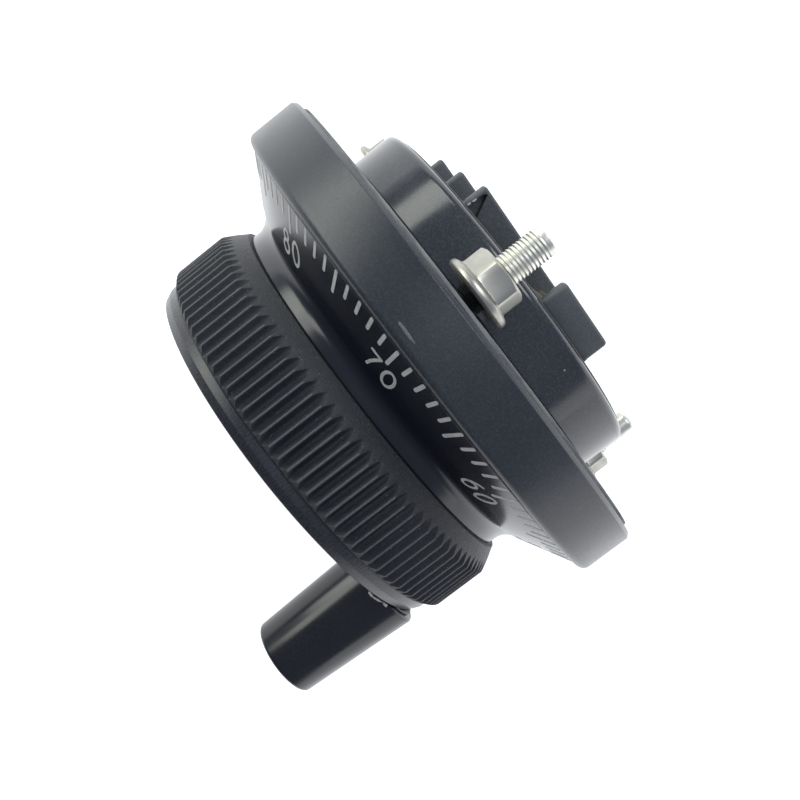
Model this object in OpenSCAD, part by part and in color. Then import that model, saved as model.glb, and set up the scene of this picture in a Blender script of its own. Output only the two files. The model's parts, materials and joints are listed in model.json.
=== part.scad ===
// Panel handwheel: a manual pulse generator with a turning dial and knob, a crank grip,
// three panel studs and a terminal block behind.
// Frame: +Y is the shaft axis and points to the rear, and +Z is up. The origin is on the shaft
// axis, where the housing's full width starts, just behind the panel's front. Millimetres.

/* [Bezel and gasket] */
// Outer diameter of the bezel
bezel_d = 80; // [68:0.5:100]
// Depth of the bezel, from its front edge to its rear face
bezel_depth = 8.5; // [7:0.1:12]
// Thickness of the bezel's front wall
bezel_wall = 1.4; // [1:0.1:2.5]
// Thickness of the plate that closes the bezel behind the dial
plate_t = 3; // [2.4:0.1:4]
// Radius of the bezel's front edge
bezel_edge_r = 1.2; // [0.3:0.1:1.3]
// Bevel on the bezel's rear edge
bezel_rear_bevel = 0.6; // [0.2:0.1:1]
// How far the gasket stays inside the bezel's edge
gasket_inset = 1.6; // [0.5:0.1:3]
// Thickness of the gasket
gasket_t = 0.5; // [0.4:0.1:0.9]

/* [Panel studs] */
// Number of studs
stud_count = 3; // [2:1:6]
// Diameter of the circle that the studs stand on
stud_circle_d = 68; // [66:0.5:70]
// Thread diameter of the studs
stud_d = 4; // [3:0.5:5]
// Thread root diameter, used inside the nut and the plate
stud_root_d = 3.2; // [2.4:0.1:3.4]
// How far the longest stud reaches behind the origin
stud_reach = 11.5; // [8:0.1:25]
// Width across the nuts' flats
nut_across_flats = 7; // [5.5:0.5:8]
// Height of the nuts
nut_h = 4.4; // [3:0.1:4.4]
// Diameter of the nuts' flanges
nut_flange_d = 9.8; // [8:0.1:9.8]
// How far the tightest nut stands off the gasket
nut_stand_off = 0.35; // [0.3:0.05:0.8]

/* [Rear housing] */
// Outer diameter of the housing, which passes through the panel
housing_d = 56; // [54:0.1:58]
// Wall of the housing
housing_wall = 1.9; // [1.4:0.1:2.2]
// How far the housing stands behind the origin
housing_depth = 7.1; // [6.9:0.1:12]
// Length of the taper at the housing's rear corner
housing_taper_len = 1.4; // [0.5:0.1:2]
// How far the rear corner tapers in
housing_taper_in = 1; // [0.3:0.1:1.2]
// Thickness of the rear cover
cover_t = 1.2; // [1:0.1:2]
// How far the rear cover stands proud of the housing
cover_proud = 0.3; // [0:0.1:0.6]
// Radius of the circle of the three cover screws
cover_screw_circle_r = 22; // [21:0.1:22.2]

/* [Terminal block] */
// Number of terminals
terminal_count = 4; // [3:1:5]
// Spacing of the terminals along their row
terminal_pitch = 12; // [9:0.5:12]
// Height of the barriers above the rear cover
barrier_h = 4.1; // [3.7:0.1:6]
// Thickness of a barrier
barrier_t = 1.6; // [1:0.1:2]
// Length of the barriers from the screws' row towards the wires
barrier_reach = 18.4; // [12:0.1:19]
// Angle of the wires' side, clockwise from the top as the rear is seen from the front
terminal_turn = 295.5; // [0:0.5:359]

/* [Dial] */
// Gap between the dial's rim and the bezel
dial_gap = 0.3; // [0.3:0.1:1]
// How far the dial's rim stands in front of the bezel
dial_proud = 0.1; // [0:0.1:1]
// Angle between the cone and the shaft axis
cone_angle = 59.5; // [52:0.5:66]
// Diameter of the dial's neck
neck_d = 57.7; // [54:0.1:58.4]
// Length of the neck, up to where the cone's line meets it
neck_len = 2.75; // [2.4:0.05:5]
// Radius of the fillet between cone and neck
neck_fillet_r = 3; // [1:0.1:3]
// Wall of the dial
dial_wall = 1.6; // [1.2:0.1:2.2]

/* [Knob] */
// Number of knurl teeth
tooth_count = 108; // [60:1:120]
// Diameter over the teeth
knob_d = 63.2; // [61:0.1:66]
// Depth of the teeth
tooth_depth = 0.92; // [0.5:0.02:1.1]
// Width of a tooth's crest
crest_w = 0.25; // [0.1:0.05:0.4]
// Length of the knob, from its rear edge to the front disc
knob_len = 12.4; // [11.5:0.1:18]
// Diameter of the knob's rear edge
shoulder_d = 59.3; // [58.6:0.1:60]
// Slope of the shoulder against the shaft axis
shoulder_angle = 28.8; // [20:0.2:40]
// Wall of the knob behind its teeth
knob_wall = 4; // [3:0.1:4.6]
// Thickness of the knob's web
web_t = 4.2; // [3.6:0.1:5]
// Diameter of the front disc
disc_d = 61.2; // [60:0.1:62]
// Thickness of the front disc
disc_t = 2.66; // [2.4:0.02:4]

/* [Grip] */
// Radius at which the grip stands on the disc
grip_offset_r = 24.7; // [18:0.1:25]
// Angle of the grip, clockwise from the top as seen from the rear
grip_turn = 72; // [0:1:359]
// Diameter of the grip at the disc
grip_base_d = 13.3; // [11:0.1:15]
// Diameter of the grip at its far end
grip_end_d = 11.7; // [10.5:0.1:15]
// Length of the grip
grip_len = 18.7; // [15:0.1:30]
// Edge radius of the grip's far end
grip_edge_r = 0.6; // [0.3:0.1:1.4]
// Diameter of the pin that the grip turns on
grip_pin_d = 5; // [4:0.1:5.4]

/* [Shaft and bearings] */
// Diameter of the shaft
shaft_d = 6; // [5:0.1:6.4]
// Outer diameter of the ball bearings
bearing_d = 13; // [12.6:0.1:15]
// Width of the ball bearings
bearing_w = 5; // [4:0.1:5.4]
// Diameter of the bearings' balls
ball_d = 2.4; // [1.8:0.1:2.6]
// Number of balls in a bearing
ball_count = 7; // [6:1:8]
// Wall of the sleeve that holds the bearings
sleeve_wall = 3; // [2.4:0.1:3]

/* [Detent and encoder] */
// Clicks and code windows in a turn, which is also the number of dial divisions
divisions = 100; // [50:10:120]
// Diameter of the detent wheel
detent_wheel_d = 30; // [26:0.5:30]
// Diameter of the detent roller
roller_d = 2; // [1.6:0.1:2]
// Diameter of the code disc
code_disc_d = 34; // [32:0.5:35]
// Thickness of the code disc
code_disc_t = 0.4; // [0.2:0.1:0.5]
// Thickness of the encoder board
board_t = 1.2; // [0.8:0.1:1.4]

/* [Clearances] */
// Radial clearance of a part that turns on another
running_fit = 0.04; // [0.02:0.01:0.08]
// Gap between pieces that are fixed to each other
seat_fit = 0.02; // [0.01:0.01:0.05]
// Radial clearance of a screw in a plain hole
screw_fit = 0.2; // [0.1:0.05:0.3]

/* [Hidden] */

fine = 96;
coarse = 32;
over = 1; // how far a cut runs past the faces it opens

// Bezel, gasket and studs
bezel_r = bezel_d / 2;
bezel_bore_r = bezel_r - bezel_wall;
bezel_rear_y = -1.1;
panel_y = bezel_rear_y + gasket_t;
bezel_front_y = bezel_rear_y - bezel_depth;
plate_front_y = bezel_rear_y - plate_t;
gasket_r = bezel_r - gasket_inset;
stud_circle_r = stud_circle_d / 2;
stud_front_y = plate_front_y + 0.3;
stud_tip_r = 0.6;
nut_flange_t = 0.6;
nut_chamfer = 0.4;
nut_turns = [13, 0, 30];
nut_backs = [1.05, 0, 3.35]; // how far each nut is turned back from the tightest one
stud_drops = [0, 0.2, 2.3]; // how much less each stud reaches than the longest
gasket_hole_r = stud_d / 2 + 0.3;

// Rear housing, cover and board
housing_r = housing_d / 2;
housing_bore_r = housing_r - housing_wall;
spigot_r = housing_r - 0.75;
housing_foot = 0.3; // how far the wall tapers in towards the gasket
cover_rear_y = housing_depth + cover_proud;
cover_front_y = cover_rear_y - cover_t;
cover_r = housing_r - housing_taper_in - 0.5;
cover_edge_r = 0.3;
board_r = housing_bore_r - 0.3;
board_front_y = cover_front_y - board_t;
ledge_r = housing_bore_r - 1.5;
ledge_t = 1;
post_r = 3.3;
post_gap = 0.3;
m3_r = 1.5;
m3_head_r = 2.75;
m3_head_h = 2;
cover_screw_front_y = bezel_rear_y - plate_t + 0.6;
cover_screw_turn = terminal_turn + 180;

// Terminal block: its row runs along local X and its wires come from local +Z
row_half = terminal_pitch * terminal_count / 2;
block_half = row_half - 0.3;
block_back = 5.2;
block_front = 5.4;
floor_t = 0.8;
floor_y = cover_rear_y + floor_t;
barrier_top_y = cover_rear_y + barrier_h;
end_wall_t = 1.8;
block_corner_r = 1;
contact_w = 7;
contact_t = 0.7;
contact_leg_w = 3;
contact_leg_z = -4;
clamp_w = 6;
clamp_t = 0.5;
terminal_head_r = 2.7;
terminal_head_h = 1.4;
slot_gap = 0.15;

// Dial and knob
dial_rim_r = bezel_bore_r - dial_gap;
dial_rim_y = bezel_front_y - dial_proud;
neck_r = neck_d / 2;
neck_corner_y = dial_rim_y - (dial_rim_r - neck_r) / tan(cone_angle);
knob_rear_y = neck_corner_y - neck_len;
knob_front_y = knob_rear_y - knob_len;
face_y = knob_front_y - disc_t;
rim_edge_t = 0.6;
dial_flange_t = 2.2;
sleeve_r = bearing_d / 2 + sleeve_wall;
dial_flange_bore_r = sleeve_r + 1.5;
tip_r = knob_d / 2;
root_r = tip_r - tooth_depth;
disc_r = disc_d / 2;
shoulder_r = shoulder_d / 2;
shoulder_len = (tip_r - shoulder_r) / tan(shoulder_angle);
shoulder_edge = 0.25;
knob_bore_r = tip_r - knob_wall - tooth_depth;
web_rear_y = knob_front_y + web_t;
hub_r = 7;
hub_len = 4.6;
screw_circle_r = 20;
boss_r = 3.4;
disc_edge_len = 1.36;
disc_edge_in = 0.5;
disc_bevel = 0.3;
centre_hole_r = 5.5;
cap_t = 0.6;
hub_washer_t = 0.6;
hub_head_r = 3.6;
hub_head_h = 1.2;
disc_screw_r = 1.25;
disc_screw_circle_r = 15;
disc_screw_turn = 60;

// Grip
washer_t = 0.25;
grip_gap = 0.08;
grip_rear_y = face_y - washer_t - grip_gap;
grip_front_y = grip_rear_y - grip_len;
grip_back_edge = 0.6;
pin_r = grip_pin_d / 2;
pin_head_r = 4;
pin_head_h = 2.2;
pin_head_room = 0.3;
pin_thread_r = 2;
pin_thread_end_y = web_rear_y - 0.4;
grip_pocket = pin_head_h + 1;

// Shaft and bearings
shaft_r = shaft_d / 2;
bearing_r = bearing_d / 2;
ball_r = ball_d / 2;
ball_track_r = (shaft_r + bearing_r) / 2;
ring_wall = 1;
track_gap = 0.05;
sleeve_rear_y = bezel_rear_y;
bearing_rear_y = sleeve_rear_y - 0.9 - bearing_w;
sleeve_front_y = knob_rear_y - 2.4;
bearing_front_y = sleeve_front_y + 0.5;
bearing_starts = [bearing_front_y, bearing_rear_y];
sleeve_step_r = bearing_r - 0.8;
sleeve_flange_r = sleeve_r + 5.5;
sleeve_flange_t = 2.5;
sleeve_screw_circle_r = sleeve_r + 3;
sleeve_screw_turn = 60;
shaft_front_y = knob_front_y + 2;
shaft_rear_y = 4.2;
hub_tap_depth = 7;
clip_y = bearing_rear_y + bearing_w + 0.1;
clip_t = 0.6;
clip_r = shaft_r + 1.6;
groove_depth = 0.4;

// Detent and encoder, placed along the shaft behind the bezel's plate
detent_r = detent_wheel_d / 2;
detent_front_y = bezel_rear_y + 0.6;
detent_t = 1.2;
detent_mid_y = detent_front_y + detent_t / 2;
notch_depth = 0.25;
notch_w = 0.5;
detent_turn = 60;
roller_r = roller_d / 2;
roller_lift = 0.05;
roller_at = detent_r + roller_lift + roller_r;
roller_len = 1.6;
leaf_t = 0.3;
leaf_at = roller_at + roller_r + seat_fit;
leaf_tail = -10;
leaf_tip = 3;
tab_w = 5;
tab_len = 4.6;
m2_r = 1;
m2_head_r = 1.9;
m2_head_h = 0.9;
code_hub_r = 6;
code_hub_front_y = detent_front_y + detent_t + 0.1;
code_front_y = 2.3;
code_rear_y = code_front_y + code_disc_t;
code_r = code_disc_d / 2;
code_clamp_t = 1;
window_in_r = code_r - 3;
window_out_r = code_r - 1;
window_w = PI * window_in_r / divisions;
fork_turn = 150;
fork_w = 8;
fork_in_r = window_in_r - 2;
fork_out_r = code_r + 4;
fork_front_y = 1.1;
fork_arm_t = 0.8;
slot_front_y = fork_front_y + fork_arm_t;
slot_rear_y = code_rear_y + 0.5;
optic_r = (window_in_r + window_out_r) / 2;
mask_t = 0.2;
chip_half_w = 5;
chip_h = 1.4;
chip_low_z = 8;
chip_high_z = 12;

// Draws a closed outline of (radius, y) pairs as a turned piece about the shaft axis
module turned() {
    rotate([-90, 0, 0])
        rotate_extrude($fn = fine)
            children();
}

// A ring or disc about the shaft axis, from one y to the next
module ring(inner_r, outer_r, y0, y1) {
    turned()
        translate([inner_r, y0])
            square([outer_r - inner_r, y1 - y0]);
}

// A round rod along +Y, at the top of a circle of the given radius
module rod(rod_r, y0, y1, at_r = 0) {
    translate([0, y0, at_r])
        rotate([-90, 0, 0])
            cylinder(r = rod_r, h = y1 - y0, $fn = fine);
}

// A box given by its low and high corners
module block(low, high) {
    translate(low)
        cube(high - low);
}

// What a round edge takes off a turned piece's corner, as (radius, y). The way is 1 where the
// piece lies behind the corner and -1 where it lies in front
module corner_cut(corner_r, corner_y, edge_r, way) {
    translate([corner_r - edge_r, corner_y + way * edge_r])
        scale([1, -way])
            difference() {
                square([edge_r + over, edge_r + over]);
                circle(r = edge_r, $fn = coarse);
            }
}

// Copies its children evenly around the shaft axis, the first one turned by start degrees
module around(count, start = 0) {
    for (i = [0 : count - 1])
        rotate([0, start + i * 360 / count, 0])
            children();
}

// Turns its children into the terminal block's own directions
module at_terminals() {
    rotate([0, terminal_turn, 0])
        children();
}

// Repeats its children at each terminal of the row
module each_terminal() {
    at_terminals()
        for (i = [0 : terminal_count - 1])
            translate([(i + 0.5) * terminal_pitch - row_half, 0, 0])
                children();
}

// ---- Static pieces ----

module bezel() {
    color("#1b1c1d")
        difference() {
            turned()
                difference() {
                    polygon([
                        [sleeve_r + seat_fit, plate_front_y],
                        [bezel_bore_r, plate_front_y],
                        [bezel_bore_r, bezel_front_y],
                        [bezel_r, bezel_front_y],
                        [bezel_r, bezel_rear_y - bezel_rear_bevel],
                        [bezel_r - bezel_rear_bevel, bezel_rear_y],
                        [sleeve_r + seat_fit, bezel_rear_y]
                    ]);
                    corner_cut(bezel_r, bezel_front_y, bezel_edge_r, 1);
                }
            around(stud_count)
                rod(stud_root_d / 2 + seat_fit, stud_front_y, bezel_rear_y + over, stud_circle_r);
            around(3, cover_screw_turn)
                rod(m3_r + seat_fit, cover_screw_front_y, bezel_rear_y + over, cover_screw_circle_r);
            around(3, sleeve_screw_turn)
                rod(m3_r + seat_fit, plate_front_y - over, bezel_rear_y - 0.3, sleeve_screw_circle_r);
            rotate([0, detent_turn, 0])
                translate([leaf_tail + tab_w / 2, 0, 0])
                    rod(m2_r + seat_fit, bezel_rear_y - 2, bezel_rear_y + over, leaf_at + tab_len / 2);
        }
}

module panel_gasket() {
    color("#262626")
        difference() {
            ring(spigot_r + 0.15, gasket_r, bezel_rear_y, panel_y);
            around(stud_count)
                rod(gasket_hole_r, bezel_rear_y - over, panel_y + over, stud_circle_r);
        }
}

// Where the front face of nut i stands
function nut_front(i) = panel_y + nut_stand_off + nut_backs[i % len(nut_backs)];

module panel_studs() {
    color("#c9cac6")
        for (i = [0 : stud_count - 1])
            rotate([0, i * 360 / stud_count, 0])
                union() {
                    rod(stud_root_d / 2, stud_front_y, nut_front(i) + nut_h + 0.01, stud_circle_r);
                    translate([0, 0, stud_circle_r])
                        stud_free_end(nut_front(i) + nut_h, stud_reach - stud_drops[i % len(stud_drops)]);
                }
}

// The threaded end behind the nut, at its full thread diameter and with a round tip
module stud_free_end(front_y, rear_y) {
    turned()
        difference() {
            translate([0, front_y])
                square([stud_d / 2, rear_y - front_y]);
            corner_cut(stud_d / 2, rear_y, stud_tip_r, -1);
        }
}

module flange_nuts() {
    color("#d0d1cc")
        for (i = [0 : stud_count - 1])
            rotate([0, i * 360 / stud_count, 0])
                translate([0, nut_front(i), stud_circle_r])
                    rotate([-90, nut_turns[i % len(nut_turns)], 0])
                        flange_nut();
}

// One nut with its flange down, along +Z
module flange_nut() {
    corner_r = nut_across_flats / sqrt(3);
    flange_r = nut_flange_d / 2;
    difference() {
        union() {
            intersection() {
                cylinder(r = corner_r, h = nut_h, $fn = 6);
                rotate_extrude($fn = coarse)
                    polygon([
                        [0, 0],
                        [corner_r + over, 0],
                        [corner_r + over, nut_h - nut_chamfer - over * tan(30)],
                        [corner_r - nut_chamfer, nut_h],
                        [0, nut_h]
                    ]);
            }
            rotate_extrude($fn = fine)
                polygon([
                    [0, 0],
                    [flange_r, 0],
                    [flange_r, nut_flange_t],
                    [nut_across_flats / 2, nut_flange_t + (flange_r - nut_across_flats / 2) * tan(30)],
                    [0, nut_flange_t + (flange_r - nut_across_flats / 2) * tan(30)]
                ]);
        }
        translate([0, 0, -over])
            cylinder(r = stud_root_d / 2 + seat_fit, h = nut_h + 2 * over, $fn = fine);
    }
}

module rear_housing() {
    color("#161718")
        difference() {
            union() {
                turned()
                    polygon([
                        [housing_bore_r, bezel_rear_y],
                        [spigot_r, bezel_rear_y],
                        [spigot_r, panel_y],
                        [housing_r - housing_foot, panel_y],
                        [housing_r, 0],
                        [housing_r, housing_depth - housing_taper_len],
                        [housing_r - housing_taper_in, housing_depth],
                        [cover_r + seat_fit, housing_depth],
                        [cover_r + seat_fit, cover_front_y],
                        [housing_bore_r, cover_front_y]
                    ]);
                ring(ledge_r, housing_bore_r + 0.01, board_front_y - ledge_t, board_front_y);
                around(3, cover_screw_turn)
                    housing_post();
            }
            around(3, cover_screw_turn)
                rod(m3_r + screw_fit, bezel_rear_y - over, cover_rear_y + over, cover_screw_circle_r);
        }
}

// A post for a cover screw, with a rib that joins it to the housing's wall
module housing_post() {
    rod(post_r, bezel_rear_y, cover_front_y, cover_screw_circle_r);
    intersection() {
        block([-post_r, bezel_rear_y, cover_screw_circle_r], [post_r, cover_front_y, spigot_r]);
        ring(0, housing_bore_r + 0.3, bezel_rear_y - over, cover_front_y + over);
    }
}

module rear_cover() {
    color("#141516")
        difference() {
            turned()
                polygon([
                    [0, cover_front_y],
                    [cover_r, cover_front_y],
                    [cover_r, cover_rear_y - cover_edge_r],
                    [cover_r - cover_edge_r, cover_rear_y],
                    [0, cover_rear_y]
                ]);
            around(3, cover_screw_turn)
                countersink();
            each_terminal()
                block([-contact_leg_w / 2 - slot_gap, cover_front_y - over, contact_leg_z - contact_t - slot_gap],
                    [contact_leg_w / 2 + slot_gap, cover_rear_y + over, contact_leg_z + slot_gap]);
        }
}

// The hole of a flat-headed cover screw
module countersink() {
    translate([0, 0, cover_screw_circle_r])
        turned()
            polygon([
                [0, cover_front_y - over],
                [m3_r + screw_fit, cover_front_y - over],
                [m3_r + screw_fit, cover_rear_y - (m3_head_r - m3_r)],
                [m3_head_r + screw_fit + over, cover_rear_y + over],
                [0, cover_rear_y + over]
            ]);
}

module cover_screws() {
    color("#9a9b98")
        around(3, cover_screw_turn)
            translate([0, 0, cover_screw_circle_r])
                difference() {
                    turned()
                        polygon([
                            [0, cover_screw_front_y + 0.2],
                            [m3_r, cover_screw_front_y + 0.2],
                            [m3_r, cover_rear_y - 0.05 - (m3_head_r - m3_r)],
                            [m3_head_r, cover_rear_y - 0.05],
                            [0, cover_rear_y - 0.05]
                        ]);
                    cross_recess(cover_rear_y - 0.05, 1, 1.6);
                }
}

// A cross-shaped driver recess, cut from the face at y towards the front
module cross_recess(y, depth, reach) {
    for (turn = [0, 90])
        rotate([0, turn, 0])
            block([-reach, y - depth, -0.3], [reach, y + over, 0.3]);
}

module terminal_block() {
    color("#222325")
        difference() {
            at_terminals()
                union() {
                    block([-block_half, cover_rear_y, -block_back], [block_half, floor_y, block_front]);
                    for (side = [-1, 1])
                        end_wall(side);
                    for (i = [1 : terminal_count - 1])
                        barrier(i * terminal_pitch - row_half);
                }
            each_terminal() {
                rod(m3_r + slot_gap, cover_rear_y - over, floor_y + over);
                block([-contact_leg_w / 2 - slot_gap, cover_rear_y - over, contact_leg_z - contact_t - slot_gap],
                    [contact_leg_w / 2 + slot_gap, floor_y + over, contact_leg_z + slot_gap]);
            }
        }
}

// An end wall of the block, with round outer corners
module end_wall(side) {
    inner = block_half - end_wall_t;
    rotate([-90, 0, 0])
        translate([0, 0, cover_rear_y])
            linear_extrude(barrier_h)
                scale([side, -1])
                    union() {
                        translate([inner, -block_back])
                            square([end_wall_t - block_corner_r, block_back + block_front]);
                        translate([block_half - block_corner_r, block_corner_r - block_back])
                            square([block_corner_r, block_back + block_front - 2 * block_corner_r]);
                        for (z = [block_corner_r - block_back, block_front - block_corner_r])
                            translate([block_half - block_corner_r, z])
                                circle(r = block_corner_r, $fn = coarse);
                    }
}

// A barrier between two terminals, with a round end towards the wires
module barrier(x) {
    rotate([-90, 0, 0])
        translate([x, 0, cover_rear_y])
            linear_extrude(barrier_h)
                union() {
                    translate([-barrier_t / 2, barrier_t / 2 - barrier_reach])
                        square([barrier_t, barrier_reach - barrier_t / 2 + block_back]);
                    translate([0, barrier_t / 2 - barrier_reach])
                        circle(r = barrier_t / 2, $fn = coarse);
                }
}

module terminal_contacts() {
    color("#c8a64b")
        each_terminal()
            difference() {
                union() {
                    block([-contact_w / 2, floor_y, contact_leg_z], [contact_w / 2, floor_y + contact_t, contact_w / 2]);
                    block([-contact_leg_w / 2, board_front_y - 0.6, contact_leg_z - contact_t],
                        [contact_leg_w / 2, floor_y + contact_t, contact_leg_z]);
                }
                rod(m3_r + seat_fit, floor_y - over, floor_y + contact_t + over);
            }
}

module terminal_clamps() {
    color("#cfd0cb")
        each_terminal()
            difference() {
                block([-clamp_w / 2, floor_y + contact_t, -clamp_w / 2],
                    [clamp_w / 2, floor_y + contact_t + clamp_t, clamp_w / 2]);
                rod(m3_r + screw_fit, floor_y, floor_y + contact_t + clamp_t + over);
            }
}

module terminal_screws() {
    head_y = floor_y + contact_t + clamp_t;
    color("#d4d5d1")
        each_terminal()
            difference() {
                union() {
                    rod(m3_r, cover_rear_y + 0.1, head_y + 0.01);
                    rod(terminal_head_r, head_y, head_y + terminal_head_h);
                }
                cross_recess(head_y + terminal_head_h, 0.9, 1.5);
            }
}

module bearing_sleeve() {
    color("#8d8f90")
        difference() {
            union() {
                ring(0, sleeve_r, sleeve_front_y, sleeve_rear_y);
                ring(0, sleeve_flange_r, plate_front_y - sleeve_flange_t, plate_front_y);
            }
            ring(0, sleeve_step_r, sleeve_front_y - over, sleeve_rear_y + over);
            ring(0, bearing_r + seat_fit, sleeve_front_y - over, bearing_front_y + bearing_w);
            ring(0, bearing_r + seat_fit, bearing_rear_y, sleeve_rear_y + over);
            around(3, sleeve_screw_turn)
                rod(m3_r + screw_fit, plate_front_y - sleeve_flange_t - over, plate_front_y + 0.5, sleeve_screw_circle_r);
        }
}

module sleeve_screws() {
    head_y = plate_front_y - sleeve_flange_t;
    color("#9fa09d")
        around(3, sleeve_screw_turn)
            difference() {
                union() {
                    rod(m3_r, head_y, bezel_rear_y - 0.5, sleeve_screw_circle_r);
                    rod(m3_head_r, head_y - m3_head_h, head_y, sleeve_screw_circle_r);
                }
                translate([0, 0, sleeve_screw_circle_r])
                    hex_recess(head_y - m3_head_h, 1.2);
            }
}

// A hexagon socket, cut from the face at y towards the rear
module hex_recess(y, depth) {
    translate([0, y - over, 0])
        rotate([-90, 0, 0])
            cylinder(r = 1.44, h = depth + over, $fn = 6);
}

module bearing_outer_rings() {
    color("#b9bbbb")
        for (y = bearing_starts)
            turned()
                difference() {
                    translate([bearing_r - ring_wall, y])
                        square([ring_wall, bearing_w]);
                    translate([ball_track_r, y + bearing_w / 2])
                        circle(r = ball_r + track_gap, $fn = coarse);
                }
}

module bearing_inner_rings() {
    color("#b9bbbb")
        for (y = bearing_starts)
            turned()
                difference() {
                    translate([shaft_r + seat_fit, y])
                        square([ring_wall, bearing_w]);
                    translate([ball_track_r, y + bearing_w / 2])
                        circle(r = ball_r + track_gap, $fn = coarse);
                }
}

module bearing_balls() {
    color("#d8dada")
        for (y = bearing_starts)
            around(ball_count)
                translate([0, y + bearing_w / 2, ball_track_r])
                    sphere(r = ball_r, $fn = coarse);
}

module ball_cages() {
    cage_half = 0.25;
    cage_w = 3.4;
    pocket = ball_r + track_gap;
    color("#b58a4a")
        for (y = bearing_starts)
            difference() {
                ring(ball_track_r - cage_half, ball_track_r + cage_half,
                    y + (bearing_w - cage_w) / 2, y + (bearing_w + cage_w) / 2);
                around(ball_count)
                    block([-pocket, y + bearing_w / 2 - pocket, ball_track_r - 1],
                        [pocket, y + bearing_w / 2 + pocket, ball_track_r + 1]);
            }
}

// ---- Pieces that turn with the wheel ----

module shaft() {
    color("#c3c5c6")
        difference() {
            ring(0, shaft_r, shaft_front_y, shaft_rear_y);
            ring(shaft_r - groove_depth, shaft_r + over, clip_y, clip_y + clip_t);
            rod(m3_r + seat_fit, shaft_front_y - over, shaft_front_y + hub_tap_depth);
        }
}

module retaining_ring() {
    color("#6f7172")
        difference() {
            ring(shaft_r - groove_depth + seat_fit, clip_r, clip_y + seat_fit, clip_y + clip_t - seat_fit);
            block([-1.2, clip_y - over, 0], [1.2, clip_y + clip_t + over, clip_r + over]);
        }
}

module dial_skirt() {
    color("#17181a")
        difference() {
            turned()
                difference() {
                    dial_outline();
                    dial_hollow();
                }
            around(3)
                rod(m3_r + screw_fit, knob_rear_y - over, knob_rear_y + dial_flange_t + over, screw_circle_r);
        }
}

// Outside of the dial: neck, fillet and cone, down to the shaft axis, as (radius, y)
module dial_outline() {
    half_turn = cone_angle / 2;
    tangent = neck_fillet_r * tan(half_turn);
    union() {
        polygon([
            [0, knob_rear_y],
            [neck_r, knob_rear_y],
            [neck_r, neck_corner_y],
            [dial_rim_r, dial_rim_y],
            [dial_rim_r, dial_rim_y + rim_edge_t],
            [0, dial_rim_y + rim_edge_t]
        ]);
        difference() {
            polygon([
                [neck_r - 0.1, neck_corner_y - tangent],
                [neck_r, neck_corner_y - tangent],
                [neck_r + tangent * sin(cone_angle), neck_corner_y + tangent * cos(cone_angle)],
                [neck_r - 0.1, neck_corner_y + tangent * cos(cone_angle)]
            ]);
            translate([neck_r + neck_fillet_r, neck_corner_y - tangent])
                circle(r = neck_fillet_r, $fn = fine);
        }
    }
}

// Inside of the dial, behind its flange and its cone, as (radius, y)
module dial_hollow() {
    shift_y = dial_wall / sin(cone_angle);
    inner_r = neck_r - dial_wall;
    flange_y = knob_rear_y + dial_flange_t;
    corner_y = neck_corner_y + shift_y - dial_wall / tan(cone_angle);
    rim_r = dial_rim_r - (shift_y - rim_edge_t) * tan(cone_angle);
    polygon([
        [-over, knob_rear_y - over],
        [dial_flange_bore_r, knob_rear_y - over],
        [dial_flange_bore_r, flange_y],
        [inner_r, flange_y],
        [inner_r, corner_y],
        [rim_r, dial_rim_y + rim_edge_t],
        [rim_r + over * tan(cone_angle), dial_rim_y + rim_edge_t + over],
        [-over, dial_rim_y + rim_edge_t + over]
    ]);
}

module skirt_screws() {
    head_y = knob_rear_y + dial_flange_t;
    color("#9fa09d")
        around(3)
            difference() {
                union() {
                    rod(m3_r, knob_rear_y - 5, head_y + 0.01, screw_circle_r);
                    rod(m3_head_r, head_y, head_y + m3_head_h, screw_circle_r);
                }
                translate([0, 0, screw_circle_r])
                    cross_recess(head_y + m3_head_h, 1.1, 1.6);
            }
}

module knob() {
    color("#191a1b")
        difference() {
            union() {
                difference() {
                    toothed_blank();
                    ring(0, knob_bore_r, web_rear_y, knob_rear_y + over);
                }
                ring(0, hub_r, web_rear_y - 0.01, web_rear_y + hub_len);
                ring(0, shaft_r + ring_wall, web_rear_y, bearing_front_y);
                around(3)
                    rod(boss_r, web_rear_y - 0.01, knob_rear_y, screw_circle_r);
            }
            ring(0, shaft_r + seat_fit, shaft_front_y - 0.2, bearing_front_y + over);
            rod(m3_r + screw_fit, knob_front_y - over, shaft_front_y);
            around(3)
                rod(m3_r + seat_fit, knob_rear_y - 5.6, knob_rear_y + over, screw_circle_r);
            around(3, disc_screw_turn)
                rod(disc_screw_r + screw_fit, knob_front_y - over, web_rear_y + over, disc_screw_circle_r);
            rotate([0, grip_turn, 0])
                rod(pin_thread_r + seat_fit, knob_front_y - over, web_rear_y + over, grip_offset_r);
        }
}

// The knob's toothed outside: a fluted bar cut to the turned outline of the blank
module toothed_blank() {
    intersection() {
        translate([0, knob_front_y, 0])
            rotate([-90, 0, 0])
                linear_extrude(knob_len)
                    polygon([for (i = [0 : tooth_count - 1]) each tooth_points(i)]);
        turned()
            polygon([
                [0, knob_front_y],
                [disc_r, knob_front_y],
                [tip_r + 0.01, knob_front_y + tip_r + 0.01 - disc_r],
                [tip_r + 0.01, knob_rear_y - shoulder_len],
                [shoulder_r, knob_rear_y - shoulder_edge],
                [shoulder_r - shoulder_edge, knob_rear_y],
                [0, knob_rear_y]
            ]);
    }
}

// A valley and the two corners of the crest beside it
function tooth_points(i) =
    let (
        pitch = 360 / tooth_count,
        start = i * pitch,
        half_crest = crest_w / tip_r * 90 / PI,
        crest = start + pitch / 2
    )
    [
        polar(root_r, start),
        polar(tip_r, crest - half_crest),
        polar(tip_r, crest + half_crest)
    ];

// A point on a circle, counted from the top as the other pieces are
function polar(r, turn) = [r * sin(turn), -r * cos(turn)];

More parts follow.
